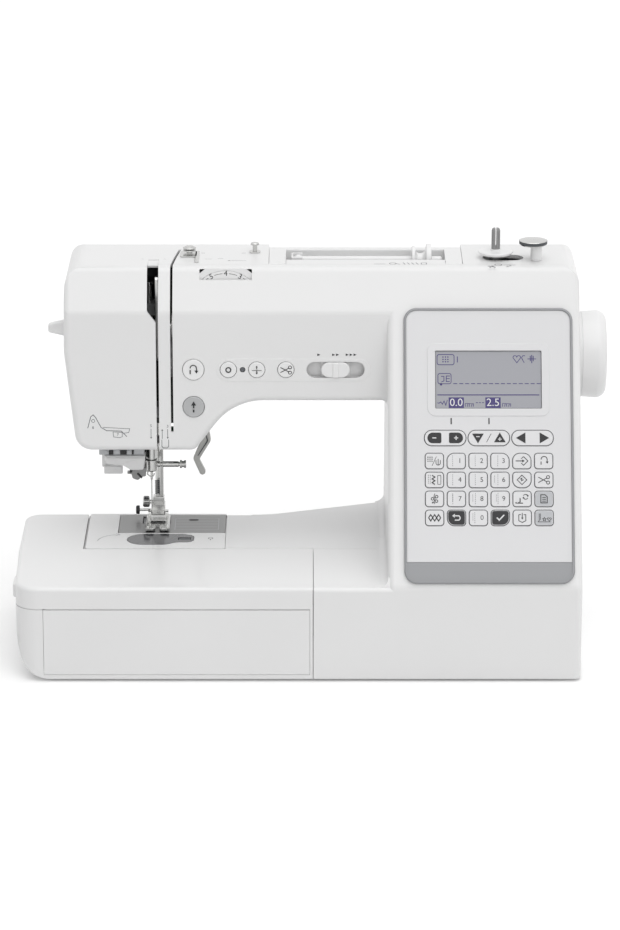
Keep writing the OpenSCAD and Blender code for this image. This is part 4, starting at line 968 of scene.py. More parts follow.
FILLET: list[Corner] = [
    (46, BED_Z - 2), (56, BED_Z - 2), (56, 74), (X_COLUMN, 74), (X_COLUMN, BED_Z, 5.9), (46, BED_Z)]
BASE_PLAN: list[Corner] = [
    (X_SEAM, Y_FRONT), (X_RIGHT, Y_FRONT, 5), (X_RIGHT, Y_BACK, 8), (X_COLUMN, Y_BACK, 40),
    (X_SEAM - 33, Y_FREE_BACK, 60), (X_SEAM - 46, Y_FREE_BACK), (X_SEAM - 46, Y_FREE_BACK - 12),
    (X_SEAM, Y_FREE_BACK - 12)]
FREE_SIDE: list[Corner] = [
    (Y_FREE, FREE_Z, 5), (Y_FREE_BACK, FREE_Z, 5), (Y_FREE_BACK, BED_Z, 5), (Y_FREE, BED_Z, 5)]
PANEL: list[Corner] = oblong((63.0, -188.7), (179.6, 3.3), 9)
BUTTON_HOLES = (
    (BIG_BUTTON_X, BUTTON_Z, BIG_BUTTON_R), (BIG_BUTTON_X, START_Z, BIG_BUTTON_R),
    (REINFORCE_X, BUTTON_Z, SMALL_BUTTON_R), (NEEDLE_BUTTON_X, BUTTON_Z, SMALL_BUTTON_R),
    (CUTTER_X, BUTTON_Z, SMALL_BUTTON_R), (LIGHT_X, BUTTON_Z, LIGHT_R))
FAR = 500.0


def crossed(side: Sequence[Corner], front: Sequence[Corner], by: float = 0.0) -> Mesh:
    """The solid that has one outline from the side and another from the front.

    Args:
        side: The outline in Y and Z.
        front: The outline in X and Z.
        by: How far both are moved inwards.

    Returns:
        The solid.
    """
    whole = slab(X, inset(side, by), -FAR, FAR)
    return common(whole, slab(Y, inset(front, by), -FAR, FAR))


def speed_slot(high: float) -> Mesh:
    """The round-ended slot that the speed slider runs in.

    Args:
        high: How deep it goes, along Y.

    Returns:
        The solid to cut out.
    """
    half = (SPEED_W / 2, SPEED_H / 2)
    ends = oblong((SPEED_X - half[0], BUTTON_Z - half[1]), (SPEED_X + half[0], BUTTON_Z + half[1]), 5.6)
    return slab(Y, ends, Y_ARM - 5, high)


@dataclass
class Covers(SubAssembly):
    """The machine's outer covers, cut from one hollow form."""

    edge: float = 4.5
    base_rim: float = 3.5
    slot_wide: float = 6.0
    slot_back: Point = (16.0, 23.0)
    tension_slot: tuple[Point, ...] = (
        (-98.4, -17), (-96.7, -17), (-96.7, 8), (-94.6, 30), (-92, 51), (-93.7, 51), (-96.3, 30), (-98.4, 8))
    vent: Corner = (80.0, 11.0, 4.0)
    vents: int = 7
    winder_seat: tuple[Point, Point] = ((119, 21), (147.5, 36.5))
    winder_seat_r: float = 7.7
    seat_z: float = TOP_Z - 7.5
    stop_bore: float = 3
    shaft_bore: float = 7
    bracket: tuple[Corner, Corner] = ((-14.7, SPOOL_Y - 7, RECESS_Z - 0.5), (-6.7, SPOOL_Y + 7, 267.5))
    bracket_gap: tuple[Corner, Corner] = ((-13.5, SPOOL_Y - 4.3, 251.5), (-5.7, SPOOL_Y + 4.3, 269))
    switch_hole: tuple[Corner, Corner] = ((180, 10, 25.4), (186, 23, 46.6))
    inlet_hole: tuple[Corner, Corner] = ((180, 38.5, 29), (186, 58.5, 43))
    jack_hole: Point = (74.5, 36)
    lever_hole: tuple[Corner, Corner] = ((-84.8, 63, 39.5), (-64.8, 67.5, 44.5))
    # A dark sheet inside the head, behind the slots: painted shade that darkens the inside of the slots.
    shield: tuple[Corner, Corner] = ((-120, 47.5, 142), (-90, 48.5, 256))
    button_gap: float = 0.35

    def outer(self) -> Mesh:
        """The outside of the whole machine, with its edges rounded."""
        arm = pillow(X, ARM_SIDE, X_HEAD, 80, (self.edge, 0))
        arm = common(arm, pillow(Y, ARM_FRONT, Y_ARM, Y_ARM_BACK, (self.edge, self.edge)))
        column = pillow(X, COLUMN_SIDE, X_COLUMN, X_RIGHT, (self.edge, self.edge))
        column = common(column, slab(Y, COLUMN_FRONT, -FAR, FAR))
        fillet = common(slab(Y, FILLET, -FAR, FAR), slab(X, inset(COLUMN_SIDE, 1.5), 40, 60))
        plan = [(-40, Y_FRONT, 0), *BASE_PLAN[1:-1], (-40, 0, 0)]
        base = pillow(Z, plan, BASE_Z, BED_Z, (0, self.base_rim))
        base = cut(base, block((-FAR, -FAR, -5), (X_SEAM, Y_FREE_BACK - 12, FAR)))
        free = pillow(X, FREE_SIDE, X_FREE, 20, (1.5, 0))
        return unite(arm, column, fillet, base, free)

    def inner(self) -> Mesh:
        """The hollow inside the covers."""
        arm = crossed(ARM_SIDE, ARM_FRONT, WALL)
        column = crossed(COLUMN_SIDE, COLUMN_FRONT, WALL)
        base = slab(Z, inset(BASE_PLAN, WALL), BASE_Z - 5, BED_Z - WALL)
        base = cut(base, block((-FAR, -FAR, -FAR), (X_SEAM + WALL, FAR, FAR)))
        free = slab(X, inset(FREE_SIDE, WALL), X_FREE + WALL, 20)
        deep = block(
            (X_COLUMN + WALL, Y_FRONT + 2 * WALL, -5), (X_RIGHT - WALL, Y_BACK - 2 * WALL, BED_Z + 4))
        return unite(arm, column, base, free, deep)

    def build(self) -> None:
        """Builds the four covers and what closes the slots inside."""
        shell = cut(self.outer(), self.inner())
        front_side = [
            (-FAR, -5), (Y_FREE - SEAM, -5), (Y_FREE - SEAM, BED_Z), (Y_SEAM - SEAM, BED_Z),
            (Y_SEAM - SEAM, FAR), (-FAR, FAR)]
        front = common(copy_of(shell), prism(X, front_side, SLOT_X0, FAR))
        behind, above = Y_SEAM + SEAM, BED_Z + SEAM
        rear = common(copy_of(shell), block((SLOT_X0, behind, above), (FAR, FAR, FAR)))
        face = common(copy_of(shell), block((-FAR, -FAR, 100), (SLOT_X0 - 0.01, FAR, FAR)))
        bed = common(shell, block((-FAR, Y_FREE + SEAM, -5), (FAR, FAR, BED_Z)))
        self.dress(self.cut_front(front), "front_shell", "white_cover", "front_cover")
        self.dress(self.cut_rear(rear), "rear_shell", "white_cover", "rear_cover")
        self.dress(self.cut_face(face), "face_shell", "white_cover", "face_cover")
        self.dress(self.cut_bed(bed), "bed_shell", "white_cover", "bed_cover")
        self.slot_linings()

    def slots(self) -> list[Mesh]:
        """The take-up and tension slots."""
        left = SLOT_X0 - self.slot_wide
        wide = [
            (left, TOP_Z + 1), (left, CREASE_Z + 1), (SLOT_X0, CREASE_Z - 7), (SLOT_X0, CREASE_Z - 20),
            (SLOT_X1, CREASE_Z - 20), (SLOT_X1, TOP_Z + 1)]
        tension = prism(Z, self.tension_slot, HEAD_Z + 14, TOP_Z + 1)
        tension = cut(tension, block((-100, 0, 0), (-90, 60, TOP_Z - 12)))
        return [
            prism(Y, wide, Y_ARM - 5, self.slot_back[1]),
            block((SLOT_X0, Y_ARM - 5, HEAD_Z - 5), (SLOT_X1, Y_ARM + 12, CREASE_Z)), tension]

    def slot_linings(self) -> None:
        """Builds the ramp at the take-up slot's back and a dark sheet inside the head, painted shade that
        darkens the inside of the slots.
        """
        front, back = self.slot_back
        side = [(front, TOP_Z - 2.5), (front, TOP_Z - 3.9), (back, TOP_Z - 3.9), (back, TOP_Z - 0.6)]
        ramp = prism(X, side, SLOT_X0 - self.slot_wide, SLOT_X1)
        self.dress(ramp, "take_up_slot_ramp", "white_cover")
        # The dark sheet is painted shade for the inside of the slots.
        self.dress(block(*self.shield), "slot_painted_shade", "dark_plastic")

    def under(self) -> list[Mesh]:
        """The opening under the head."""
        low = HEAD_Z - 5
        return [
            block((X_HEAD + 16, Y_ARM + 30, low), (X_HEAD_RIGHT - 2, Y_ARM + 83, HEAD_Z + 5)),
            block((X_HEAD_RIGHT - 14, Y_ARM + 70, low), (X_HEAD_RIGHT + 26, Y_ARM + 81, HEAD_Z + 24))]

    def cut_front(self, shell: Mesh) -> Mesh:
        """Cuts the slots, holes and windows of the front cover.

        Args:
            shell: The uncut cover.

        Returns:
            The cover.
        """
        window = oblong((DIAL_X - WINDOW_HALF, 260), (DIAL_X + WINDOW_HALF, TOP_Z - 1.4), 0.8)
        holes = [
            slab(Y, window, Y_ARM - 3, DIAL_Y + 8), speed_slot(Y_ARM + 5),
            moved(slab(Z, inset(PANEL, 2.5), -7.5, 5), SLOPE)]
        for x, z, radius in BUTTON_HOLES:
            holes.append(rod(Y, (x, z), radius + self.button_gap, Y_ARM - 5, Y_ARM + 5))
        return cut(shell, *self.slots(), *self.under(), *holes)

    def cut_rear(self, shell: Mesh) -> Mesh:
        """Sinks the recess of the handle and spool into the rear cover.

        Args:
            shell: The uncut cover.

        Returns:
            The cover.
        """
        low, back = RECESS_Z, Y_ARM_BACK + 5
        tub = slab(X, inset(ARM_SIDE, 0.4), RECESS_X0 - WALL, RECESS_X1 + WALL)
        shell = unite(shell, common(tub, block((-FAR, Y_SEAM + SEAM, low - WALL), (FAR, back, FAR))))
        hollow = [block((RECESS_X0, SPOOL_Y0, low), (RECESS_X1, back, TOP_Z + 5))]
        for x in (RECESS_X0, RECESS_X1 - HANDLE_W - 0.6):
            hollow.append(block((x, HANDLE_Y0 - 0.3, low), (x + HANDLE_W + 0.6, back, TOP_Z + 5)))
        seat = oblong(*self.winder_seat, self.winder_seat_r)
        hollow.append(slab(Z, seat, self.seat_z, TOP_Z + 1))
        hollow.append(rod(Z, (STOP_X, STOP_Y), self.stop_bore, self.seat_z, TOP_Z + 1))
        hollow.append(rod(X, (Y_NEEDLE, SHAFT_Z), self.shaft_bore, X_RIGHT - 5, X_RIGHT + 1))
        start, pitch, wide = self.vent
        for i in range(self.vents):
            x = start + i * pitch
            hollow.append(block((x, Y_BACK - 30, BED_Z + 30), (x + wide, Y_BACK + 1, BED_Z + 60)))
        shell = cut(shell, *self.slots(), *self.under(), *hollow)
        return unite(shell, self.spool_bracket())

    def spool_bracket(self) -> Mesh:
        """The fork that holds the spool pin's foot."""
        fork = cut(soft_block(*self.bracket, 0.6, 2), block(*self.bracket_gap))
        return cut(fork, rod(Y, (SPOOL_X, SPOOL_Z), 1.25, SPOOL_Y - 9, SPOOL_Y + 11, 24))

    def cut_face(self, shell: Mesh) -> Mesh:
        """Cuts the threader's slot into the face cover."""
        slot = block((X_HEAD - 5, 27, 167.5), (X_HEAD + 9, 33, 225.5))
        return cut(shell, *self.slots(), *self.under(), slot)

    def cut_bed(self, shell: Mesh) -> Mesh:
        """Cuts the seat of the plates, the well of the hook and the holes at the back.

        Args:
            shell: The uncut cover.

        Returns:
            The cover.
        """
        rim = oblong((X_FREE + 0.7, Y_FREE + 0.7), (-61.2, Y_FREE_BACK - 0.7), 2)
        seat = slab(Z, rim, BED_Z - 2, BED_Z + 1)
        well = block((X_FREE + 10, Y_FREE + 5, BED_Z - 5), (-66.5, Y_FREE_BACK - 5, BED_Z + 1))
        step = block((X_SEAM - 1, -10.8, 1), (X_SEAM + 7.5, 52.8, 7.3))
        flare = block((X_SEAM - 40, Y_FREE_BACK - 9.5, 1), (X_SEAM, Y_FREE_BACK - WALL, FREE_Z))
        sockets = (
            block(*self.switch_hole), block(*self.inlet_hole), rod(X, self.jack_hole, 5, 180, 186),
            block(*self.lever_hole))
        return cut(shell, seat, well, step, flare, *sockets)


# ---------------------------------------------------------------- printed marks
class Pen:
    """Draws flat marks as thin raised meshes on a plane.

    The plane is given by a matrix whose X and Y are the marks' own, and whose Z points out.
    """

    def __init__(self, plane: Matrix, lift: float = 0.05) -> None:
        """Starts without marks.

        Args:
            plane: Where the marks lie.
            lift: How far they stand off the plane, in millimetres.
        """
        self.plane = plane
        self.lift = lift
        self.origin = Vector((0, 0))
        self.bm = bmesh.new()

    def move_to(self, x: float, y: float) -> "Pen":
        """Sets the place that the next marks are measured from."""
        self.origin = Vector((x, y))
        return self

    def at(self, x: float, y: float) -> Vector:
        """A place on the plane, lifted off the surface."""
        return self.plane @ Vector((*(self.origin + Vector((x, y))), self.lift))

    def poly(self, points: Sequence[Point]) -> "Pen":
        """Fills a polygon."""
        self.bm.faces.new([self.bm.verts.new(self.at(*p)) for p in points])
        return self

    def rect(self, x: float, y: float, width: float, height: float, radius: float = 0.0) -> "Pen":
        """Fills a rectangle about its middle."""
        corners = oblong((x - width / 2, y - height / 2), (x + width / 2, y + height / 2), radius)
        return self.poly(rounded(corners, math.radians(15)))

    def disc(self, x: float, y: float, radius: float) -> "Pen":
        """Fills a disc."""
        return self.poly(circle((x, y), radius, 20))

    def dots(self, x: float, y: float, count: int) -> "Pen":
        """Sets small dots in a column.

        Args:
            x: The column's middle, across.
            y: The highest dot's middle, up.
            count: How many dots.

        Returns:
            The pen.
        """
        for i in range(count):
            self.rect(x, y - 1.35 * i, 0.4, 0.6)
        return self

    def line(self, points: Sequence[Point], width: float, closed: bool = False) -> "Pen":
        """Draws a line of even width.

        Args:
            points: The line's points.
            width: Its width, in millimetres.
            closed: Whether its end joins its start.

        Returns:
            The pen.
        """
        path = [Vector(p) for p in points]
        last = len(path)
        sides = []
        for i, here in enumerate(path):
            back = path[i - 1] if i or closed else None
            ahead = path[(i + 1) % last] if i < last - 1 or closed else None
            u = (here - back).normalized() if back is not None else (ahead - here).normalized()
            v = (ahead - here).normalized() if ahead is not None else u
            mitre = Vector((-(u.y + v.y), u.x + v.x))
            if mitre.length < 1e-6:
                mitre = Vector((-u.y, u.x))
            mitre.normalize()
            reach = width / 2 / max(0.35, mitre.dot(Vector((-u.y, u.x))))
            sides.append(
                (self.bm.verts.new(self.at(*(here + mitre * reach))),
                self.bm.verts.new(self.at(*(here - mitre * reach)))))
        for i in range(last if closed else last - 1):
            a, b = sides[i], sides[(i + 1) % last]
            self.bm.faces.new((a[0], a[1], b[1], b[0]))
        return self

    def ring(
        self, x: float, y: float, radius: float, width: float, start: float = 0.0, turn: float = 360.0
    ) -> "Pen":
        """Draws a ring, or an arc of one.

        Args:
            x: Its middle, across.
            y: Its middle, up.
            radius: Its radius.
            width: The line's width.
            start: Where it starts, in degrees.
            turn: How far it goes round, in degrees.

        Returns:
            The pen.
        """
        whole = abs(turn) >= 360
        steps = max(6, int(abs(turn) / 15))
        angles = (math.radians(start + turn * i / steps) for i in range(steps if whole else steps + 1))
        return self.line([(x + radius * math.cos(a), y + radius * math.sin(a)) for a in angles], width, whole)

    def box_line(
        self, x: float, y: float, width: float, height: float, stroke: float, radius: float = 0.0) -> "Pen":
        """Draws a rectangle's outline about its middle."""
        corners = oblong((x - width / 2, y - height / 2), (x + width / 2, y + height / 2), radius)
        return self.line(rounded(corners, math.radians(15)), stroke, True)

    def arrow(self, start: Point, end: Point, width: float, head: float) -> "Pen":
        """Draws a line with a filled head at its end.

        Args:
            start: Where the line starts.
            end: The head's tip.
            width: The line's width.
            head: The head's length.

        Returns:
            The pen.
        """
        a, b = Vector(start), Vector(end)
        along = (b - a).normalized()
        side = Vector((-along.y, along.x))
        neck = b - along * head
        self.line([start, tuple(neck)], width)
        return self.poly([tuple(neck + side * head * 0.6), tuple(neck - side * head * 0.6), tuple(b)])

    def text(self, x: float, y: float, words: str, height: float) -> "Pen":
        """Writes digits or a plain sign, centred on a place.

        Args:
            x: The middle, across.
            y: The middle, up.
            words: What to write.
            height: The height of a digit.

        Returns:
            The pen.
        """
        curve = bpy.data.curves.new("digits", "FONT")
        curve.body = words
        curve.align_x = "CENTER"
        curve.align_y = "CENTER"
        curve.size = height * 1.4
        curve.resolution_u = 3
        holder = place_object("digits", curve)
        bpy.context.view_layer.update()
        mesh = bpy.data.meshes.new_from_object(holder)
        mesh.transform(self.plane @ Matrix.Translation((self.origin.x + x, self.origin.y + y, self.lift)))
        self.bm.from_mesh(mesh)
        bpy.data.objects.remove(holder)
        bpy.data.curves.remove(curve)
        bpy.data.meshes.remove(mesh)
        return self


def facing(x: float, z: float, y: float = Y_ARM) -> Matrix:
    """A plane on a face that looks to the front, with its middle at x and z."""
    return Matrix.Translation((x, y, z)) @ Matrix.Rotation(math.pi / 2, 4, "X")


def on_slope(x: float, y: float, height: float = 0.0) -> Matrix:
    """A plane on the panel's slope."""
    return SLOPE @ Matrix.Translation((x, y, height))


def lying(x: float, y: float, z: float) -> Matrix:
    """A plane that looks up."""
    return Matrix.Translation((x, y, z))


# ---------------------------------------------------------------- attachment, plates and top
@dataclass
class Attachment(SubAssembly):
    """The flat-bed attachment and its accessory door."""

    plan: tuple[Corner, ...] = (
        (X_LEFT + 3, Y_FRONT, 16), (0.5, Y_FRONT, 0.8), (0.5, -13.9), (-161.2, -13.9, 1),
        (-161.2, Y_FREE_BACK, 1), (X_LEFT, Y_FREE_BACK, 12), (X_LEFT, Y_FREE, 60))
    front: tuple[Corner, ...] = (
        (X_LEFT + 8, BASE_Z, 22), (1.5, BASE_Z), (1.5, BED_Z), (X_LEFT - 1, BED_Z), (X_LEFT - 1, 53))
    door_x: Point = (-184.5, -1.7)
    door_z: Point = (5.0, 52.0)
    gap: float = 0.15
    seam: Point = (52.1, 52.8)

    def form(self, by: float) -> Mesh:
        """The attachment's outside, moved inwards by a distance."""
        plan = slab(Z, inset(self.plan, by), BASE_Z - 1, BED_Z - by)
        return common(plan, slab(Y, inset(self.front, by), -FAR, FAR))

    def outside(self) -> Mesh:
        """The attachment's outside, its rim rounded where it doesn't meet the machine."""
        wide = [
            self.plan[0], (40, Y_FRONT, 0), (40, 110, 0), (-100, 110, 0), (-100, Y_FREE_BACK, 0),
            *self.plan[5:]]
        whole = pillow(Z, wide, BASE_Z, BED_Z, (0, 3))
        whole = common(whole, slab(Y, self.front, -FAR, FAR))
        return common(whole, slab(Z, self.plan, BASE_Z - 1, BED_Z + 1))

    def build(self) -> None:
        """Builds the attachment, its door and the line where its lid meets its side."""
        (x0, x1), (z0, z1), gap = self.door_x, self.door_z, self.gap
        shell = cut(self.outside(), self.form(WALL))
        hole = block((x0 - gap, Y_FRONT - 1, z0 - gap), (x1 + gap, Y_FRONT + 7.5, z1 + 0.6))
        groove = cut(
            block((X_LEFT - 2, Y_FRONT - 2, self.seam[0]), (x0 + 2, Y_FREE_BACK + 2, self.seam[1])),
            slab(Z, inset(self.plan, 0.7), 0, 70))
        grip = soft_block((X_LEFT + 0.4, -79.5, 55), (X_LEFT + 4, -61.5, 65), 1.4)
        self.dress(unite(cut(shell, hole, groove), grip), "attachment_shell", "white_cover", "bed_attachment")
        door = soft_block((x0, Y_FRONT, z0), (x1, Y_FRONT + WALL, z1), 0.3, 2)
        hinge = rod(X, (Y_FRONT + 2, z0 + 2), 2, x0, x1, 32)
        pins = rod(X, (Y_FRONT + 2, z0 + 2), 1.2, x0 - 1.6, x1 + 1.6, 24)
        self.dress(unite(door, hinge, pins), "door_panel", "white_cover", "accessory_door")


@dataclass
class Plates(SubAssembly):
    """The plate cover, the needle plate and the bobbin cover."""

    cover: tuple[Point, Point] = ((-159.8, -12.5), (-61.5, 65.5))
    steel: tuple[Point, Point] = ((-138.0, 22.5), (-62.0, 63.0))
    lid: tuple[Corner, ...] = (
        (-131, -4, 11.9), (-104, -4, 10), (-96, 1.5, 8), (-84, 1.5, 5.5), (-84, 16.5, 5.5), (-92, 20, 3),
        (-131, 20, 11.9))
    lid_gap: float = 0.3
    ledge: float = 1.5
    rows: tuple[float, ...] = (29.0, 35.5, 42.0, 48.5, 55.0)
    line_x: Point = (-98.0, -67.0)

    def build(self) -> None:
        """Builds the plates and their marks."""
        plate = slab(Z, oblong(*self.cover, 2), BED_Z - 2, BED_Z)
        (left, front), (_, back) = self.steel
        gap = self.lid_gap
        steel = block((left - gap, front - gap, 60), (-60, back + gap, 70))
        lid = slab(Z, inset(self.lid, -gap), BED_Z - 1.5, 70)
        plate = cut(plate, steel, lid, slab(Z, inset(self.lid, self.ledge), 60, 69))
        self.softened(plate, 0.35, "plate_cover_plate", "white_cover", "plate_cover")
        self.needle_plate()
        self.bobbin_cover()

    def softened(self, plate: Mesh, width: float, name: str, look: str, node: str) -> None:
        """Rounds a plate's upper edges and makes it a piece of the machine."""
        plate = soften(plate, width, lambda e: e.verts[0].co.z > BED_Z - 0.1, segments=2)
        self.dress(plate, name, look, node)

    def needle_plate(self) -> None:
        """Builds the steel plate with its slots and measuring lines."""
        steel = slab(Z, oblong(*self.steel, 1.5), BED_Z - 1.6, BED_Z)
        slots = [block((-115.7, 39, 60), (-106.7, 41, 70))]
        for lane in (-7.6, 0.0, 7.6):
            slots.append(block((-113.9 + lane, 43.4, 60), (-109.3 + lane, 59.6, 70)))
        self.softened(cut(steel, *slots), 0.3, "needle_plate_steel", "plate_steel", "needle_plate")
        pen = Pen(lying(0, 0, BED_Z))
        for y in self.rows:
            pen.line([(self.line_x[0], y), (self.line_x[1], y)], 0.4)
        for x in self.line_x:
            pen.line([(x, self.rows[0]), (x, self.rows[-1])], 0.4)
        self.mark(pen, "needle_plate_lines", "print_pale")
        # A black oval on the plate: painted shade of the hollow there.
        hollow_shade = Pen(lying(0, 0, BED_Z + 0.05))
        hollow_shade.poly(rounded(oblong((-88.5, 49.6), (-81.5, 53), 1.6)))
        self.mark(hollow_shade, "needle_plate_hollow_shade", "print_black")

    def bobbin_cover(self) -> None:
        """Builds the smoked cover and its latch, with the arc that shows the thread's way."""
        lid = cut(slab(Z, self.lid, BED_Z - 1.2, BED_Z), block((-95, 7, 60), (-86, 12, 70)))
        lid = soften(lid, 0.3, lambda e: e.verts[0].co.z > BED_Z - 0.1, segments=2)
        self.dress(lid, "bobbin_cover_lid", "smoked_plastic", "bobbin_cover", slot="clear_plastic")
        latch = soft_block((-94.7, 7.3, BED_Z - 1.2), (-86.3, 11.7, BED_Z - 0.3), 0.3, 2)
        self.dress(latch, "bobbin_cover_latch", "motor_steel", body="bobbin_cover", slot="dark_plastic")
        pen = Pen(lying(0, 0, BED_Z))
        pen.ring(-137, 3, 15, 0.4, 100, 75).line([(-139.5, 16), (-136.5, 18), (-139.5, 20)], 0.4)
        pen.ring(-72, 10, 1.6, 0.5).line([(-72, 6), (-72, 8)], 0.6)
        self.mark(pen, "bobbin_thread_arrow", "print_grey")


@dataclass
class Top(SubAssembly):
    """What stands on the flat top: handle, spool pin, winder and thread guides."""

    handle_z: float = 256.5
    handle_back: float = 66.0
    pin_end: float = 91.1
    pin_r: float = 2.6
    cap: tuple[float, float, float, float] = (69.8, 13.7, 11.2, 9.8)
    winder_y: float = 27.5
    seat_z: float = 271.7
    seat_r: float = 12.2

    def build(self) -> None:
        """Builds the pieces of the top."""
        self.handle()
        self.spool()
        self.winder()
        self.stop()
        self.guides()
        self.marks()

    def handle(self) -> None:
        """Builds the folding carrying handle."""
        low, back = self.handle_z, self.handle_back
        rear: list[Corner] = [(back, low, 2), (back, 265.5, 3), (58, TOP_Z, 6)]
        side = [(11.5, low, 5.9), *rear, (11.5, TOP_Z, 5.9)]
        arms = [slab(X, side, x, x + HANDLE_W) for x in (RECESS_X0 + 0.3, RECESS_X1 - HANDLE_W - 0.3)]
        grip = [(53, low, 3), *rear, (53, TOP_Z, 1.5)]
        bar = slab(X, grip, RECESS_X0 + HANDLE_W, RECESS_X1 - HANDLE_W)
        handle = soften(unite(*arms, bar), 1.2, lambda e: abs(e.verts[0].co.x - e.verts[1].co.x) < 0.5)
        holes = [rod(X, HANDLE_PIVOT, 2.05, x - 3, x + 3, 32) for x in (RECESS_X0, RECESS_X1)]
        self.dress(cut(handle, *holes), "handle_moulding", "white_cover", "carrying_handle")

    def spool(self) -> None:
        """Builds the lying spool pin and the cap that holds a reel on it."""
        axis = (SPOOL_Y, SPOOL_Z)
        low, high = SPOOL_X, self.pin_end
        pin = lathe(X, axis, [(0, low), (self.pin_r, low, 0.4), (self.pin_r, high, 1.6), (0, high)], 40)
        boss = rod(Y, (low, SPOOL_Z), 3, SPOOL_Y - 4, SPOOL_Y + 4)
        pivot = rod(Y, (low, SPOOL_Z), 1.2, SPOOL_Y - 6.8, SPOOL_Y + 6.8)
        self.dress(unite(pin, boss, pivot), "spool_pin_rod", "white_button", "spool_pin")
        x, length, large, small = self.cap
        bore = self.pin_r + 0.35
        profile = [
            (bore, x), (small, x, 0.5), (small, x + 2.2, 0.8), (4.6, x + 3.4, 2), (4.8, x + length - 5, 3),
            (large, x + length - 3.6, 0.6), (large, x + length, 1), (bore, x + length, 0.4), (bore, x)]
        self.dress(lathe(X, axis, profile), "spool_cap_disc", "white_button", "spool_cap")

    def winder(self) -> None:
        """Builds the bobbin winder's shaft and the seat that a bobbin stands on."""
        at, low, radius = (WINDER_X, self.winder_y), self.seat_z, self.seat_r
        profile = [
            (0, 234.5), (12, 235.5), (12, 240.5), (3.05, 240.5), (3.05, 288.4, 0.5), (2.4, 290, 0.5),
            (0, 290)]
        slit = block((WINDER_X - 0.35, 24, 277), (WINDER_X + 0.35, 31, 291))
        self.dress(cut(lathe(Z, at, profile), slit), "winder_shaft_turned", "plate_steel", "winder_shaft")
        seat = [
            (3, low), (radius - 1.2, low, 0.4), (radius, low + 1.2, 0.4), (radius, low + 2.1, 0.4),
            (radius - 2, low + 2.5, 0.4), (3.6, low + 2.5, 0.3), (3.6, low + 3.6, 0.4), (3, low + 3.6),
            (3, low)]
        self.dress(lathe(Z, at, seat), "winder_seat", "white_button", body="winder_shaft")

    def stop(self) -> None:
        """Builds the stop that the full bobbin turns against: a pale stem under a metal cap."""
        profile = [(0, 263.5), (2.95, 263.5), (2.95, 268.6), (4, 268.6, 0.3), (4, 279.8), (0, 279.8)]
        self.dress(lathe(Z, (STOP_X, STOP_Y), profile, 32), "winder_stop_stem", "white_button")
        x, low, radius = STOP_X - 2.2, 279.6, 9.8
        cap = [
            (0, low), (radius - 0.8, low, 0.4), (radius, low + 1, 0.5), (radius, low + 3.2, 0.9),
            (0, low + 3.9)]
        self.dress(lathe(Z, (x, STOP_Y), cap), "winder_stop_knob", "bright_steel", "winder_stop")
        # A dark band round the side of the bright cap: painted shade on the cap's side.
        band = [
            (radius - 0.9, low + 0.4), (radius + 0.06, low + 0.9), (radius + 0.06, low + 2.9),
            (radius - 0.9, low + 2.9), (radius - 0.9, low + 0.4)]
        self.dress(lathe(Z, (x, STOP_Y), band), "winder_stop_side_shade", "motor_steel", slot="steel")

    def guides(self) -> None:
        """Builds the sheet-metal thread guides and the tension discs behind the slot."""
        top = TOP_Z
        post = [
            (0, top), (2, top), (2, 271.1), (4.6, 271.1, 0.3), (4.6, 271.9, 0.3), (2, 272.2), (2, 272.6),
            (4.6, 272.7, 0.3), (4.6, 273.5, 0.3), (2.4, 274.5, 0.8), (0, 274.5)]
        button = [(0, top), (1.6, top), (1.6, 273.8), (3, 274, 0.4), (3, 275.5, 0.7), (0, 275.5)]
        pieces = [
            self.sheet(slab(Z, oblong((-92.5, 28), (-80.5, 44), 3), top, top + 1)),
            lathe(Z, (-86, 38), post, 40),
            self.sheet(block((-82, 14, top), (-79, 44, top + 1))),
            lathe(Z, (-40.2, 43.5), button, 32),
            self.sheet(slab(Z, oblong((-44, 40), (-36.5, 47), 1.5), top, top + 1)),
            rod(X, (4, 225.4), 2.5, -103.4, -94.4, 24),
            block((-104.4, -9.5, 221.4), (-102.4, 8, 229.4)),
        ]
        for x in (-100.0, -97.8):
            disc = [(0, x), (8, x, 0.3), (10, x + 0.2, 0.3), (10, x + 1, 0.3), (0, x + 1)]
            pieces.append(lathe(X, (4, 225.4), disc, 40))
        self.dress(gather(pieces), "thread_guide_metal", "bright_steel", "thread_guides")

    def sheet(self, plate: Mesh) -> Mesh:
        """Takes the sharpness off a plate's edges."""
        return soften(plate, 0.3, segments=2)

    def marks(self) -> None:
        """Prints the spool and winder signs on the top."""
        pen = Pen(lying(0, 0, TOP_Z))
        pen.ring(56, 12, 2.2, 0.5).line([(58.2, 12), (61, 10)], 0.5)
        for i in range(4):
            pen.line([(63 + 3 * i, 14.5), (64.6 + 3 * i, 9.5)], 0.5)
        pen.box_line(77.5, 12, 3.6, 4.4, 0.5, 0.8).line([(43, 11), (51, 11)], 0.4)
        pen.ring(129, 8.5, 2.4, 0.5).arrow((121.5, 5), (126.5, 5), 0.6, 2).line([(133, 8), (141, 8)], 0.5)
        pen.disc(123.2, 1.5, 0.8).disc(126.2, 1.5, 0.8).line([(134.5, 4), (138, 6.6)], 0.6)
        self.mark(pen, "top_signs", "print_grey")


# ---------------------------------------------------------------- panel, keys and buttons
def draw_dots(pen: Pen) -> None:
    """A grid of dots, a stroke and a hook.

    Args:
        pen: What draws it.
    """
    for i in range(9):
        pen.disc(-4.4 + 1.4 * (i % 3), 2.6 - 1.4 * (i // 3), 0.4)
    pen.line([(-1.6, -3.4), (1.4, 3)], 0.35).ring(2.6, -1.4, 1.5, 0.45, 180, 180)
    pen.line([(1.1, -1.4), (1.1, 0.6)], 0.45).line([(4.1, -1.4), (4.1, 0.6)], 0.45)
    pen.line([(2.6, -3), (2.6, 1.4)], 0.45)


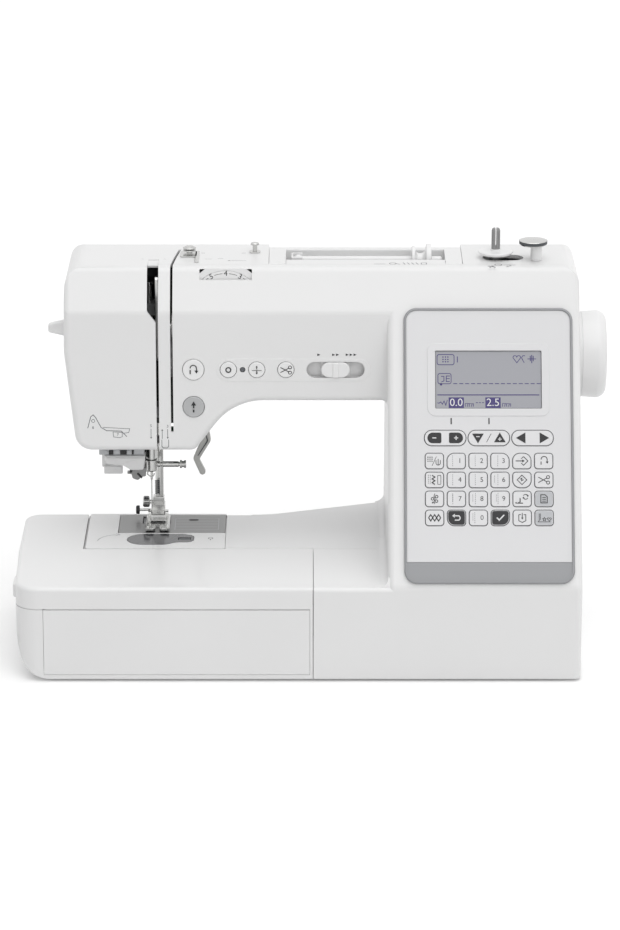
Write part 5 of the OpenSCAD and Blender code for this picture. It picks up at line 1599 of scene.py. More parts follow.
def draw_sample(pen: Pen) -> None:
    """A dotted row, a bold zigzag and an empty box.

    Args:
        pen: What draws it.
    """
    pen.dots(-4.2, 3.2, 5).dots(-2.9, 3.2, 5)
    pen.line([(-1.6 + 1.9 * (i % 2), 3.2 - 1.28 * i) for i in range(6)], 0.7)
    pen.box_line(3.3, 0, 2.2, 6.2, 0.35, 0.4)


def draw_vine(pen: Pen) -> None:
    """An upright vine with leaves."""
    pen.line([(0.2, 3.6), (-0.4, 1.6), (0.4, 0), (-0.4, -1.8), (0.2, -3.6)], 0.45)
    pen.ring(1.4, 1.5, 0.9, 0.5).ring(-1.4, 0, 0.9, 0.5).ring(1.3, -1.6, 0.9, 0.5).disc(-1.2, -2.6, 0.6)


def draw_chain(pen: Pen) -> None:
    """A chain of three bold links."""
    for i in (-1, 0, 1):
        pen.line([(2.7 * i - 1.4, 0), (2.7 * i, 2.2), (2.7 * i + 1.4, 0), (2.7 * i, -2.2)], 0.7, True)


def draw_into(pen: Pen) -> None:
    """An arrow going into a diamond."""
    pen.line([(1.2, 3), (4.2, 0), (1.2, -3), (-0.4, -1.5)], 0.5).line([(1.2, 3), (-0.4, 1.5)], 0.5)
    pen.arrow((-4.2, 0), (2, 0), 0.6, 1.7)


def draw_swirl(pen: Pen) -> None:
    """A short zigzag in a diamond."""
    pen.line([(0, 3.3), (3.3, 0), (0, -3.3), (-3.3, 0)], 0.5, True)
    pen.line([(-1.4, 0.4), (0, 1.2), (-0.4, -0.6), (1.2, 0.2)], 0.5)


def draw_foot(pen: Pen) -> None:
    """A presser foot and two arrows that turn round each other.

    Args:
        pen: What draws it.
    """
    pen.line([(-1.4, 0.6), (-1.4, -2.2), (-3.2, -3), (0.6, -3)], 0.7).disc(-4.2, -2.8, 0.5)
    pen.ring(2.4, 1.4, 1.7, 0.5, 20, 130).ring(2.4, 1.4, 1.7, 0.5, 200, 130)
    pen.poly([(0.2, 0.4), (1.8, 0.2), (0.9, 1.6)]).poly([(4.6, 2.4), (3, 2.6), (3.9, 1.2)])


def draw_shield(pen: Pen) -> None:
    """A shield with a needle in it.

    Args:
        pen: What draws it.
    """
    pen.line([(-2.4, 2.2), (-2.4, -2), (0, -3.2), (2.4, -2), (2.4, 2.2), (1, 2.2)], 0.5)
    pen.line([(-2.4, 2.2), (-1, 2.2)], 0.5)
    pen.arrow((0, 3.4), (0, -1.2), 0.5, 1.4)


def draw_return(pen: Pen) -> None:
    """A dash, an arch and an arrow down."""
    pen.ring(0.3, 1, 2.1, 0.55, 0, 180).line([(-1.8, -0.4), (-1.8, -2.6)], 0.6)
    pen.arrow((2.4, 1), (2.4, -2), 0.55, 1.6)


def draw_scissors(pen: Pen) -> None:
    """A pair of scissors with its blades to the left."""
    for side in (-1, 1):
        pen.ring(2.9, side * 1.9, 1.05, 0.5).line([(2, side * 1.3), (-3.8, side * -1.9)], 0.5)


def draw_page(pen: Pen) -> None:
    """A page with a folded corner.

    Args:
        pen: What draws it.
    """
    pen.line([(-2.2, -2.8), (2.2, -2.8), (2.2, 1.4), (0.8, 2.8), (-2.2, 2.8)], 0.6, True)
    for i in range(3):
        pen.line([(-1.2, 1 - 1.3 * i), (1.3, 1 - 1.3 * i)], 0.5)


def draw_star(pen: Pen) -> None:
    """A foot, a star and a heart.

    Args:
        pen: What draws it.
    """
    pen.line([(-3.4, 3), (-3.4, -1.8), (-4.2, -2.8), (4.4, -2.8)], 0.4).line([(-2.6, 3), (-2.6, -1.4)], 0.4)
    star = [(-90 + 36 * i, 1.3 if i % 2 else 0.6) for i in range(10)]
    points = [(0.1 + r * math.cos(math.radians(a)), -1 + r * math.sin(math.radians(a))) for a, r in star]
    pen.line(points, 0.35, True)
    pen.ring(2.8, -0.7, 0.7, 0.4, 0, 180).ring(4.2, -0.7, 0.7, 0.4, 0, 180)
    pen.line([(2.1, -0.7), (3.5, -2.3), (4.9, -0.7)], 0.4)


def draw_reverse(pen: Pen) -> None:
    """The sign for sewing backwards: a dash, an arch and a bold arrow down."""
    pen.ring(0, 1.2, 2.2, 0.7, 0, 180).line([(-2.2, 0), (-2.2, -3)], 0.8)
    pen.arrow((2.2, 1.3), (2.2, -2.6), 0.7, 2.2)


def draw_start(pen: Pen) -> None:
    """A bold arrow that points up, over a dash."""
    pen.poly([(0, 4.2), (-1.8, 1.2), (1.8, 1.2)]).rect(0, 0.3, 1, 2.2).rect(0, -2.8, 1.1, 2)


def draw_ring(pen: Pen) -> None:
    """A bold ring: stitches on one spot."""
    pen.ring(0, 0, 1.7, 0.8)


def draw_needle(pen: Pen) -> None:
    """An arrow up and an arrow down, over and under a line."""
    pen.arrow((0, 0.4), (0, 3.2), 0.5, 1.3).arrow((0, -0.4), (0, -3.2), 0.5, 1.3)
    pen.line([(-3.4, -0.4), (3.4, -0.4)], 0.35)


PLAIN = (2.0, 2.0, 2.0, 2.0)
KEY_RADII: dict[tuple[int, int], Sequence[float]] = {
    (1, 0): (2, 2, 2, 4.8), (3, 0): (2, 2, 4.8, 2), (4, 0): (2, 2, 4.8, 4.8), (4, 1): (4.8, 4.8, 2, 2),
    (1, 3): (4.8, 2, 2, 2), (3, 3): (2, 4.8, 2, 2)}
KEY_SIGNS: dict[tuple[int, int], Callable[[Pen], None]] = {
    (0, 0): draw_dots, (0, 1): draw_sample, (0, 2): draw_vine, (0, 3): draw_chain, (4, 0): draw_into,
    (4, 1): draw_swirl, (4, 2): draw_foot, (4, 3): draw_shield, (5, 0): draw_return, (5, 1): draw_scissors,
    (5, 2): draw_page, (5, 3): draw_star}


@dataclass
class Panel(SubAssembly):
    """The operation panel on the slope."""

    middle: float = 121.3
    plate_t: float = 2.0
    key_top: float = 2.6
    key_under: float = -3.3
    key: Point = (12.1, 10.3)
    pitch: Point = (15.0, 13.15)
    first_row: float = -103.8
    rocker: Point = (-87.8, 28.1)
    rocker_r: float = 4.9
    key_gap: float = 0.3
    glass: Corner = (-47.0, 72.7, 40.0)
    band: float = -173.7

    def build(self) -> None:
        """Builds the panel's frame, sheet, display, keys and their signs."""
        self.frame()
        self.sheet()
        self.display()
        self.display_signs()
        self.keys()
        self.key_outlines()
        self.number_signs()
        self.function_signs()

    def place(self, column: int, row: int) -> Point:
        """Where a key's middle is, on the slope."""
        return self.middle + (column - 2.5) * self.pitch[0], self.first_row - row * self.pitch[1]

    def rocker_place(self, index: int) -> Point:
        """Where a rocker's middle is, on the slope."""
        return self.middle + (index - 1) * 2 * self.pitch[0], self.rocker[0]

    def about(self, middle: Point, size: Point, radii: Sequence[float]) -> list[Corner]:
        """A rectangle's corners.

        Args:
            middle: Its middle.
            size: Its width and height.
            radii: A radius for each corner, from the lower left, anticlockwise.

        Returns:
            The corners.
        """
        low = (middle[0] - size[0] / 2, middle[1] - size[1] / 2)
        corners = oblong(low, (low[0] + size[0], low[1] + size[1]), 0)
        return [(x, y, radius) for (x, y, _), radius in zip(corners, radii)]

    def key_corners(self, column: int, row: int) -> list[Corner]:
        """One key's outline."""
        return self.about(self.place(column, row), self.key, KEY_RADII.get((column, row), PLAIN))

    def rocker_corners(self, index: int) -> list[Corner]:
        """One rocker's outline."""
        return self.about(self.rocker_place(index), (self.rocker[1], self.key[1]), (self.rocker_r,) * 4)

    def outlines(self, columns: Sequence[int]) -> list[list[Corner]]:
        """The outlines of the keys in some columns."""
        return [self.key_corners(column, row) for row in range(4) for column in columns]

    def rockers(self) -> list[list[Corner]]:
        """The outlines of the three rockers."""
        return [self.rocker_corners(index) for index in range(3)]

    def frame(self) -> None:
        """Builds the silver rim and the band below the keys."""
        rim = pillow(Z, PANEL, 0, self.plate_t + 0.8, (0, 0.9))
        rim = cut(rim, slab(Z, inset(PANEL, 1.6), -1, 5))
        band = slab(Z, inset(PANEL, 1), 0, self.plate_t)
        band = common(band, block((50, PANEL[0][1] - 1, -1), (200, self.band - 0.2, 5)))
        self.dress(moved(unite(rim, band), SLOPE), "panel_rim", "panel_silver", "panel_frame")

    def sheet(self) -> None:
        """Builds the printed sheet with its raised display surround."""
        y, width, length = self.glass
        sheet = slab(Z, inset(PANEL, 1.8), 0.2, self.plate_t)
        sheet = common(sheet, block((50, self.band, -1), (200, 10, 5)))
        raised = self.about((self.middle, y), (width + 11.7, length + 11.2), (6,) * 4)
        surround = pillow(Z, raised, 1, self.plate_t + 0.5, (0, 0.5))
        window = slab(Z, self.about((self.middle, y), (width + 0.7, length + 0.6), (0.8,) * 4), -1, 5)
        holes = [
            slab(Z, inset(corners, -self.key_gap), -1, 5)
            for corners in self.outlines(range(6)) + self.rockers()]
        sheet = cut(unite(sheet, surround), window, gather(holes))
        self.dress(moved(sheet, SLOPE), "panel_sheet", "panel_white", "operation_panel")

    def display(self) -> None:
        """Builds the display's window and the panel under it."""
        y, width, length = self.glass
        glass = pillow(Z, self.about((self.middle, y), (width, length), (0.8,) * 4), -0.5, 1.4, (0, 0.2))
        under = slab(Z, self.about((self.middle, y), (width + 6.9, length + 7), (0,) * 4), -4, -0.4)
        self.dress(moved(unite(glass, under), SLOPE), "display_glass", "display_glass", "display")
        ticks = Pen(on_slope(self.middle, 0, self.plate_t))
        for x in (-25.8, 0.2):
            ticks.rect(x, -76, 0.9, 4.4)
        self.mark(ticks, "panel_ticks", "print_black", slot="panel_white")

    def display_signs(self) -> None:
        """Draws what the display shows."""
        pen = Pen(on_slope(self.middle, self.glass[0], 1.4))
        pen.box_line(-29.4, 14.1, 11.7, 7.2, 0.55, 1.4)
        for i in range(9):
            pen.disc(-31.2 + 1.7 * (i % 3), 12.6 + 1.65 * (i // 3), 0.5)
        pen.text(-21.3, 14, "1", 4.4)
        pen.ring(18.4, 15.6, 1.3, 0.5, 0, 200).ring(21, 15.6, 1.3, 0.5, -20, 200)
        pen.line([(17.2, 15.2), (19.7, 11.9), (22.2, 15.2)], 0.5).ring(24.6, 15.4, 1.5, 0.5, 60, 180)
        pen.line([(23.4, 14.4), (24.8, 11.9)], 0.5)
        pen.line([(27, 14.6), (33, 14.6)], 0.5)
        for x, low, high in ((29, 13, 16.8), (31, 13, 16.8), (30, 11.6, 17.4)):
            pen.line([(x, low), (x, high)], 0.6)
        pen.box_line(-30.2, 0.8, 9.1, 7.2, 0.5, 1.4)
        pen.line([(-32.6, 2.4), (-30.6, 2.4), (-30.6, -0.8), (-32.4, -1.6)], 0.55)
        pen.line([(-26.4, 2.6), (-29, 2.6), (-29, -1.2), (-26.6, -1.2)], 0.55).disc(-32.6, -3.2, 0.9)
        pen.line([(-29, 0.8), (-26.6, 0.8)], 0.5)
        for i in range(15):
            pen.line([(-24.2 + 4.1 * i, -2.7), (-21.4 + 4.1 * i, -2.7)], 0.55)
        pen.line([(-35.2, -10.6), (35, -10.6)], 0.7)
        pen.line([(-35.2 + 1.15 * i, -16.1 + 0.32 * i * (-1) ** i) for i in range(7)], 0.5)
        for x, unit in ((-22.2, -16), (3.1, 9.6)):
            pen.rect(x, -16.05, 10.5, 7.4)
            for i in range(5):
                pen.line([(unit + 1.4 * i, -18.8), (unit + 1.4 * i + 0.5 * (i % 2), -16.6)], 0.45)
            pen.line([(unit, -16.5), (unit + 5.6, -16.8)], 0.35)
        for i in range(3):
            pen.line([(-8.7 + 2.1 * i, -16), (-7.3 + 2.1 * i, -16)], 0.5)
        self.mark(pen, "display_signs", "icon_violet", slot="display_glass")
        pale = Pen(on_slope(self.middle, self.glass[0], 1.45))
        pale.text(-22.2, -16.05, "0.0", 5.4).text(3.1, -16.05, "2.5", 5.4)
        self.mark(pale, "display_digits", "panel_white", slot="display_glass")

    def keys(self) -> None:
        """Builds the keys in their two sets, and the three rockers."""
        sets = (
            ("number_key_caps", "number_keys", self.outlines((1, 2, 3))),
            ("function_key_caps", "function_keys", self.outlines((0, 4, 5)) + self.rockers()))
        for name, body, outlines in sets:
            caps = [pillow(Z, corners, self.key_under, self.key_top, (0, 0.4)) for corners in outlines]
            self.dress(moved(gather(caps), SLOPE), name, "key_rubber", body)

    def key_outlines(self) -> None:
        """Draws a thin dark line round each key on the sheet, painted shade of the gap round the key."""
        pen = Pen(on_slope(0, 0, self.plate_t))
        for corners in self.outlines(range(6)) + self.rockers():
            pen.line(rounded(inset(corners, -self.key_gap - 0.15), math.radians(10)), 0.3, True)
        self.mark(pen, "key_outlines", "print_grey", slot="panel_white")

    def number_signs(self) -> None:
        """Prints the digits, the stitches and the two dark keys."""
        pen, faint = Pen(on_slope(0, 0, self.key_top)), Pen(on_slope(0, 0, self.key_top))
        labels = {self.place(1 + i % 3, i // 3): str(i + 1) for i in range(9)} | {self.place(2, 3): "0"}
        for i, ((x, y), digit) in enumerate(labels.items()):
            pen.text(x + 2.45, y, digit, 3.4)
            faint.move_to(x - 2, y).dots((i % 3) * 0.5 - 0.5, 3.4, 6)
            faint.dots((i % 2) * -1.2 - 0.6, 2.6, 4 if i > 4 else 0)
        for column in (1, 3):
            pen.poly(rounded(inset(self.key_corners(column, 3), 0.35)))
        self.mark(pen, "number_key_marks", "print_black", body="number_keys", slot="key_rubber")
        self.mark(faint, "number_key_stitches", "print_grey", body="number_keys", slot="key_rubber")
        pale = Pen(on_slope(0, 0, self.key_top + 0.05))
        pale.move_to(*self.place(1, 3))
        pale.line([(-1.6, 1.4), (1.6, 1.4), (2.4, 0.4), (2.4, -0.6), (1.6, -1.6), (-1.2, -1.6)], 0.8)
        pale.poly([(-3, 1.4), (-1.2, 0), (-1.2, 2.8)])
        pale.move_to(*self.place(3, 3)).line([(-2.4, 0.2), (-0.8, -1.6), (2.6, 2)], 0.9)
        self.mark(pale, "number_key_signs", "panel_white", body="number_keys", slot="key_rubber")

    def function_signs(self) -> None:
        """Prints the signs of the stitch, function and rocker keys."""
        fill = Pen(on_slope(0, 0, self.key_top))
        for row in (2, 3):
            fill.poly(rounded(inset(self.key_corners(5, row), 0.35)))
        self.mark(fill, "function_key_fills", "print_pale", body="function_keys", slot="key_rubber")
        pen = Pen(on_slope(0, 0, self.key_top + 0.05))
        for key, draw in KEY_SIGNS.items():
            draw(pen.move_to(*self.place(*key)))
        pale = Pen(on_slope(0, 0, self.key_top + 0.1))
        half = ((2.6, -3.7, 1.2), (12.2, -3.7, 3.6), (12.2, 3.7, 3.6), (2.6, 3.7, 1.2))
        for side in (-1, 1):
            pen.move_to(*self.rocker_place(0)).poly(rounded([(x * side, y * side, r) for x, y, r in half]))
            x = 7.5 * side
            pen.move_to(*self.rocker_place(1)).poly(
                [(x - 4 * side, -3 * side), (x + 4 * side, -3 * side), (x, 3.8 * side)])
            pen.move_to(*self.rocker_place(2)).poly(
                [(11.4 * side, 0), (4.9 * side, 3.8 * side), (4.9 * side, -3.8 * side)])
            pale.move_to(*self.rocker_place(0)).line([(x - 1.4, 0), (x + 1.4, 0)], 0.7)
            pale.move_to(*self.rocker_place(1)).line([(x - 1.2, -0.9 * side), (x + 1.2, -0.9 * side)], 0.6)
        pale.move_to(*self.rocker_place(0)).line([(7.5, -1.4), (7.5, 1.4)], 0.7)
        pale.move_to(*self.rocker_place(1)).line([(7.5, -2.1), (7.5, 0.4)], 0.6)
        pen.move_to(*self.rocker_place(1)).line([(-1.6, -3), (1.6, 3)], 0.35)
        self.mark(pen, "function_key_marks", "print_black", body="function_keys", slot="key_rubber")
        self.mark(pale, "function_key_signs", "panel_white", body="function_keys", slot="key_rubber")


@dataclass(frozen=True)
class Button:
    """One round push-button on the arm's face."""

    node: str
    place: Corner
    look: str
    draw: Callable[[Pen], None]


BUTTONS = (
    Button("reverse_button", BUTTON_HOLES[0], "white_button", draw_reverse),
    Button("start_button", BUTTON_HOLES[1], "grey_button", draw_start),
    Button("reinforce_button", BUTTON_HOLES[2], "white_button", draw_ring),
    Button("needle_button", BUTTON_HOLES[3], "white_button", draw_needle),
    Button("cutter_button", BUTTON_HOLES[4], "white_button", draw_scissors))


@dataclass
class Controls(SubAssembly):
    """The buttons, the speed slider and the tension dial on the arm."""

    proud: float = 1.0
    knob_half: float = 9.9
    pad: tuple[Point, Point] = ((-66.0, 190.4), (40.0, 206.6))
    pad_t: float = 0.3
    dial_t: float = 7.0
    digit_r: float = 23.6
    digit_pitch: float = 25.0

    def build(self) -> None:
        """Builds the controls of the arm."""
        for button in BUTTONS:
            self.button(button)
        self.button_pad()
        self.slider()
        self.dial()
        self.dial_digits()

    def button(self, button: Button) -> None:
        """Builds one button with a slightly dished face.

        Args:
            button: What to build.
        """
        x, z, radius = button.place
        face, back = Y_ARM - self.proud, Y_ARM + 6.5
        profile = [
            (0, back), (radius, back), (radius, face, 0.7), (radius - 1.4, face, 0.6), (0, face + 0.35)]
        cap = lathe(Y, (x, z), profile)
        self.dress(cap, button.node + "_cap", button.look, button.node)
        pen = Pen(facing(x, z, face - 0.02))
        button.draw(pen)
        self.mark(pen, button.node + "_sign", "print_black", body=button.node, slot="white_button")

    def button_pad(self) -> None:
        """Builds the raised pad, the ready light and the arrows over the speed slider."""
        pad = pillow(Y, oblong(*self.pad, 8), Y_ARM - self.pad_t, Y_ARM + 1, (self.pad_t, 0))
        for x, z, radius in BUTTON_HOLES[2:]:
            pad = cut(pad, rod(Y, (x, z), radius + 0.35, Y_ARM - 5, Y_ARM + 5))
        self.dress(cut(pad, speed_slot(Y_ARM + 5)), "button_pad", "white_cover")
        lamp = [(0, Y_ARM - 0.4), (LIGHT_R, Y_ARM - 0.4, 0.4), (LIGHT_R, Y_ARM + 2), (0, Y_ARM + 2)]
        self.dress(lathe(Y, (LIGHT_X, BUTTON_Z), lamp, 32), "ready_light", "print_grey", slot="dark_plastic")
        pen = Pen(facing(0, 0))
        for x, count in ((4.6, 1), (14.9, 2), (24.3, 3)):
            for i in range(count):
                at = x + 2.7 * i
                pen.poly([(at - 1.1, 208.6), (at + 1.1, 209.5), (at - 1.1, 210.4)])
        self.mark(pen, "arm_signs", "print_black")

    def slider(self) -> None:
        """Builds the speed slider's knob, with its ridge, and the pale floor of its slot."""
        half, wide = SPEED_H / 2 - 0.3, self.knob_half
        knob = oblong((SPEED_X - wide, BUTTON_Z - half), (SPEED_X + wide, BUTTON_Z + half), 5.3)
        front = pillow(Y, knob, Y_ARM - 1.4, Y_ARM + WALL, (0.7, 0))
        ridge = oblong((SPEED_X - 2, BUTTON_Z - half), (SPEED_X + 2.2, BUTTON_Z + half), 0.6)
        neck = block((SPEED_X - 3, Y_ARM + 2, BUTTON_Z - 4), (SPEED_X + 3, Y_ARM + 3.5, BUTTON_Z + 4))
        back = block(
            (SPEED_X - wide, Y_ARM + 2.8, BUTTON_Z - 7.2), (SPEED_X + wide, Y_ARM + 4.8, BUTTON_Z + 7.2))
        whole = unite(front, pillow(Y, ridge, Y_ARM - 2.5, Y_ARM, (0.9, 0)), neck, back)
        self.dress(whole, "speed_slider_knob", "white_button", "speed_slider")
        floor = block((SPEED_X - 24, Y_ARM + 5.2, BUTTON_Z - 8), (SPEED_X + 24, Y_ARM + 6, BUTTON_Z + 8))
        self.dress(floor, "speed_slot_floor", "white_cover")

    def dial(self) -> None:
        """Builds the thread tension dial with its ridged rim, and the lining of its window."""
        rim = DIAL_R - 0.4
        bore, low, high = 3.05, DIAL_Y, DIAL_Y + self.dial_t
        profile = [
            (bore, low), (rim - 0.6, low, 0.5), (rim, low + 1, 0.5), (rim, high - 1, 0.5),
            (rim - 0.6, high, 0.5), (bore, high), (bore, low)]
        body = lathe(Y, (DIAL_X, DIAL_Z), profile, 96)
        self.dress(body, "tension_dial_wheel", "white_button", "tension_dial")
        rib = block((rim - 0.4, DIAL_Y + 3.4, -0.35), (rim + 0.3, DIAL_Y + 6.4, 0.35))
        ribs = spread(rib, 72, Vector((0, 1, 0)), self.palette["white_button"])
        ribs = moved(ribs, Matrix.Translation((DIAL_X, 0, DIAL_Z)))
        self.dress(ribs, "tension_dial_ribs", "white_button", body="tension_dial")
        half, top = WINDOW_HALF + 1, TOP_Z - 1
        shape = [
            (-half, 256), (half, 256), (half, 263.4), (half - 5.4, top), (5.4 - half, top), (-half, 263.4)]
        lining = prism(Y, [(DIAL_X + x, z) for x, z in shape], DIAL_Y + 0.2, DIAL_Y + 1.2)
        lining = cut(lining, rod(Y, (DIAL_X, DIAL_Z), DIAL_R - 0.3, 0, 9, 96))
        self.dress(lining, "dial_window_lining", "white_button", slot="white_cover")

    def dial_digits(self) -> None:
        """Prints 0 to 9 on the dial's front face, 4 at the top, with an arc from digit to digit."""
        pen, steps = Pen(Matrix.Identity(4)), 6
        for digit in range(10):
            turn = math.radians((digit - 4) * self.digit_pitch)
            pen.plane = (
                Matrix.Translation((DIAL_X, DIAL_Y, DIAL_Z)) @ Matrix.Rotation(turn, 4, Vector((0, -1, 0)))
                @ Matrix.Rotation(math.pi / 2, 4, "X"))
            pen.text(0, self.digit_r, str(digit), 3.8)
            spokes = [
                math.radians(90 - self.digit_pitch * (0.22 + 0.56 * i / steps)) for i in range(steps + 1)]
            pen.line([(self.digit_r * math.cos(t), self.digit_r * math.sin(t)) for t in spokes], 0.3)
        self.mark(pen, "tension_digits", "print_black", body="tension_dial", slot="white_button")


# ---------------------------------------------------------------- needle, presser foot and levers
@dataclass
class NeedleWork(SubAssembly):
    """The needle bar with its clamp, the needle and the clamp's screw."""

    x: float = X_NEEDLE
    y: float = Y_NEEDLE
    bar_r: float = 3.2
    clamp_z: tuple[float, float] = (109.0, 117.5)
    bar_top: float = 248.5
    screw_z: float = 113.75

    def build(self) -> None:
        """Builds the bar, the needle and the screw."""
        self.bar()
        self.needle()
        self.screw()

    def bar(self) -> None:
        """Builds the bar with its clamp, its driving block and its thread hook."""
        low, high = self.clamp_z
        profile = [
            (0, low), (3.6, low), (4.6, low + 1, 0.4), (4.6, high, 0.6), (self.bar_r, high + 0.4),
            (self.bar_r, self.bar_top, 0.8), (0, self.bar_top)]
        bar = lathe(Z, (self.x, self.y), profile)
        cheek = soft_block((self.x - 6, self.y - 3.5, low), (self.x, self.y + 3.5, high), 0.6, 3)
        bore = rod(Z, (self.x, self.y), 1.05, low - 1, high + 1, 24)
        slit = block((self.x - 7, self.y - 0.3, low - 1), (self.x - 1, self.y + 0.3, high - 1.5))
        driver = soft_block((-121, 34, 190.5), (-110.3, 46, 200.5), 0.8, 3)
        bar = cut(unite(bar, cheek, driver), bore, slit)
        self.dress(bar, "needle_bar_steel", "bright_steel", "needle_bar")
        hook = [
            (self.x - 2.4, self.y - 4, low + 1.2), (self.x - 2.6, self.y - 5.6, low - 1.2),
            (self.x - 0.6, self.y - 6, low - 2.6), (self.x + 1.6, self.y - 5.6, low - 2.2),
            (self.x + 2.2, self.y - 4.4, low - 0.8)]
        self.dress(tube(hook, 0.45, 12), "needle_thread_hook", "bright_steel", body="needle_bar")
        stop = soft_block(
            (self.x - 6, self.y - 4.5, high + 1), (self.x - 3.3, self.y + 3, high + 9.5), 0.5, 3)
        pin = rod(Y, (self.x - 4.6, high + 6), 0.8, self.y - 5.4, self.y - 4, 24)
        self.dress(unite(stop, pin), "needle_bar_stop", "dark_plastic", body="needle_bar")

    def needle(self) -> None:
        """Builds the needle: shank, blade, groove, eye and tip."""
        profile = [
            (0, 80), (0.12, 80.1), (0.4, 83.2, 0.3), (0.45, 85), (0.45, 101.5), (0.98, 103.5, 0.4),
            (0.98, 117.4, 0.2), (0, 117.4)]
        steel = lathe(Z, (self.x, self.y), profile, 32)
        eye = block((self.x - 0.14, self.y - 1, 84.2), (self.x + 0.14, self.y + 1, 85.8))
        groove = block((self.x - 0.1, self.y - 1, 85.6), (self.x + 0.1, self.y - 0.3, 100))
        self.dress(cut(steel, eye, groove), "needle_steel", "bright_steel", "needle")

    def screw(self) -> None:
        """Builds the clamp's long screw with its knurled head."""
        shank = [
            (0, -111.1), (1.9, -110.7, 0.3), (2.1, -109), (2.1, -108.4), (1.7, -108), (1.7, -107),
            (2.1, -106.6), (2.1, -95.2, 0.2), (1.6, -95), (1.6, -94.4), (2.9, -94.2, 0.3), (2.9, -92.9, 0.3),
            (2.3, -92.6), (2.3, -91.4), (2.9, -91.1, 0.3), (2.9, -89.8, 0.4), (0, -89.8)]
        body = lathe(X, (self.y, self.screw_z), shank, 48)
        slot = block((-91, self.y - 4, self.screw_z - 0.4), (-89, self.y + 4, self.screw_z + 0.4))
        self.dress(cut(body, slot), "clamp_screw_turned", "bright_steel", "needle_clamp_screw")
        home = Matrix.Translation((0, self.y, self.screw_z))
        rib = block((-94.1, -0.2, 2.7), (-92.9, 0.2, 3.0))
        ribs = spread(rib, 30, Vector((1, 0, 0)), self.palette["bright_steel"])
        self.dress(moved(ribs, home), "clamp_screw_knurl", "bright_steel", body="needle_clamp_screw")


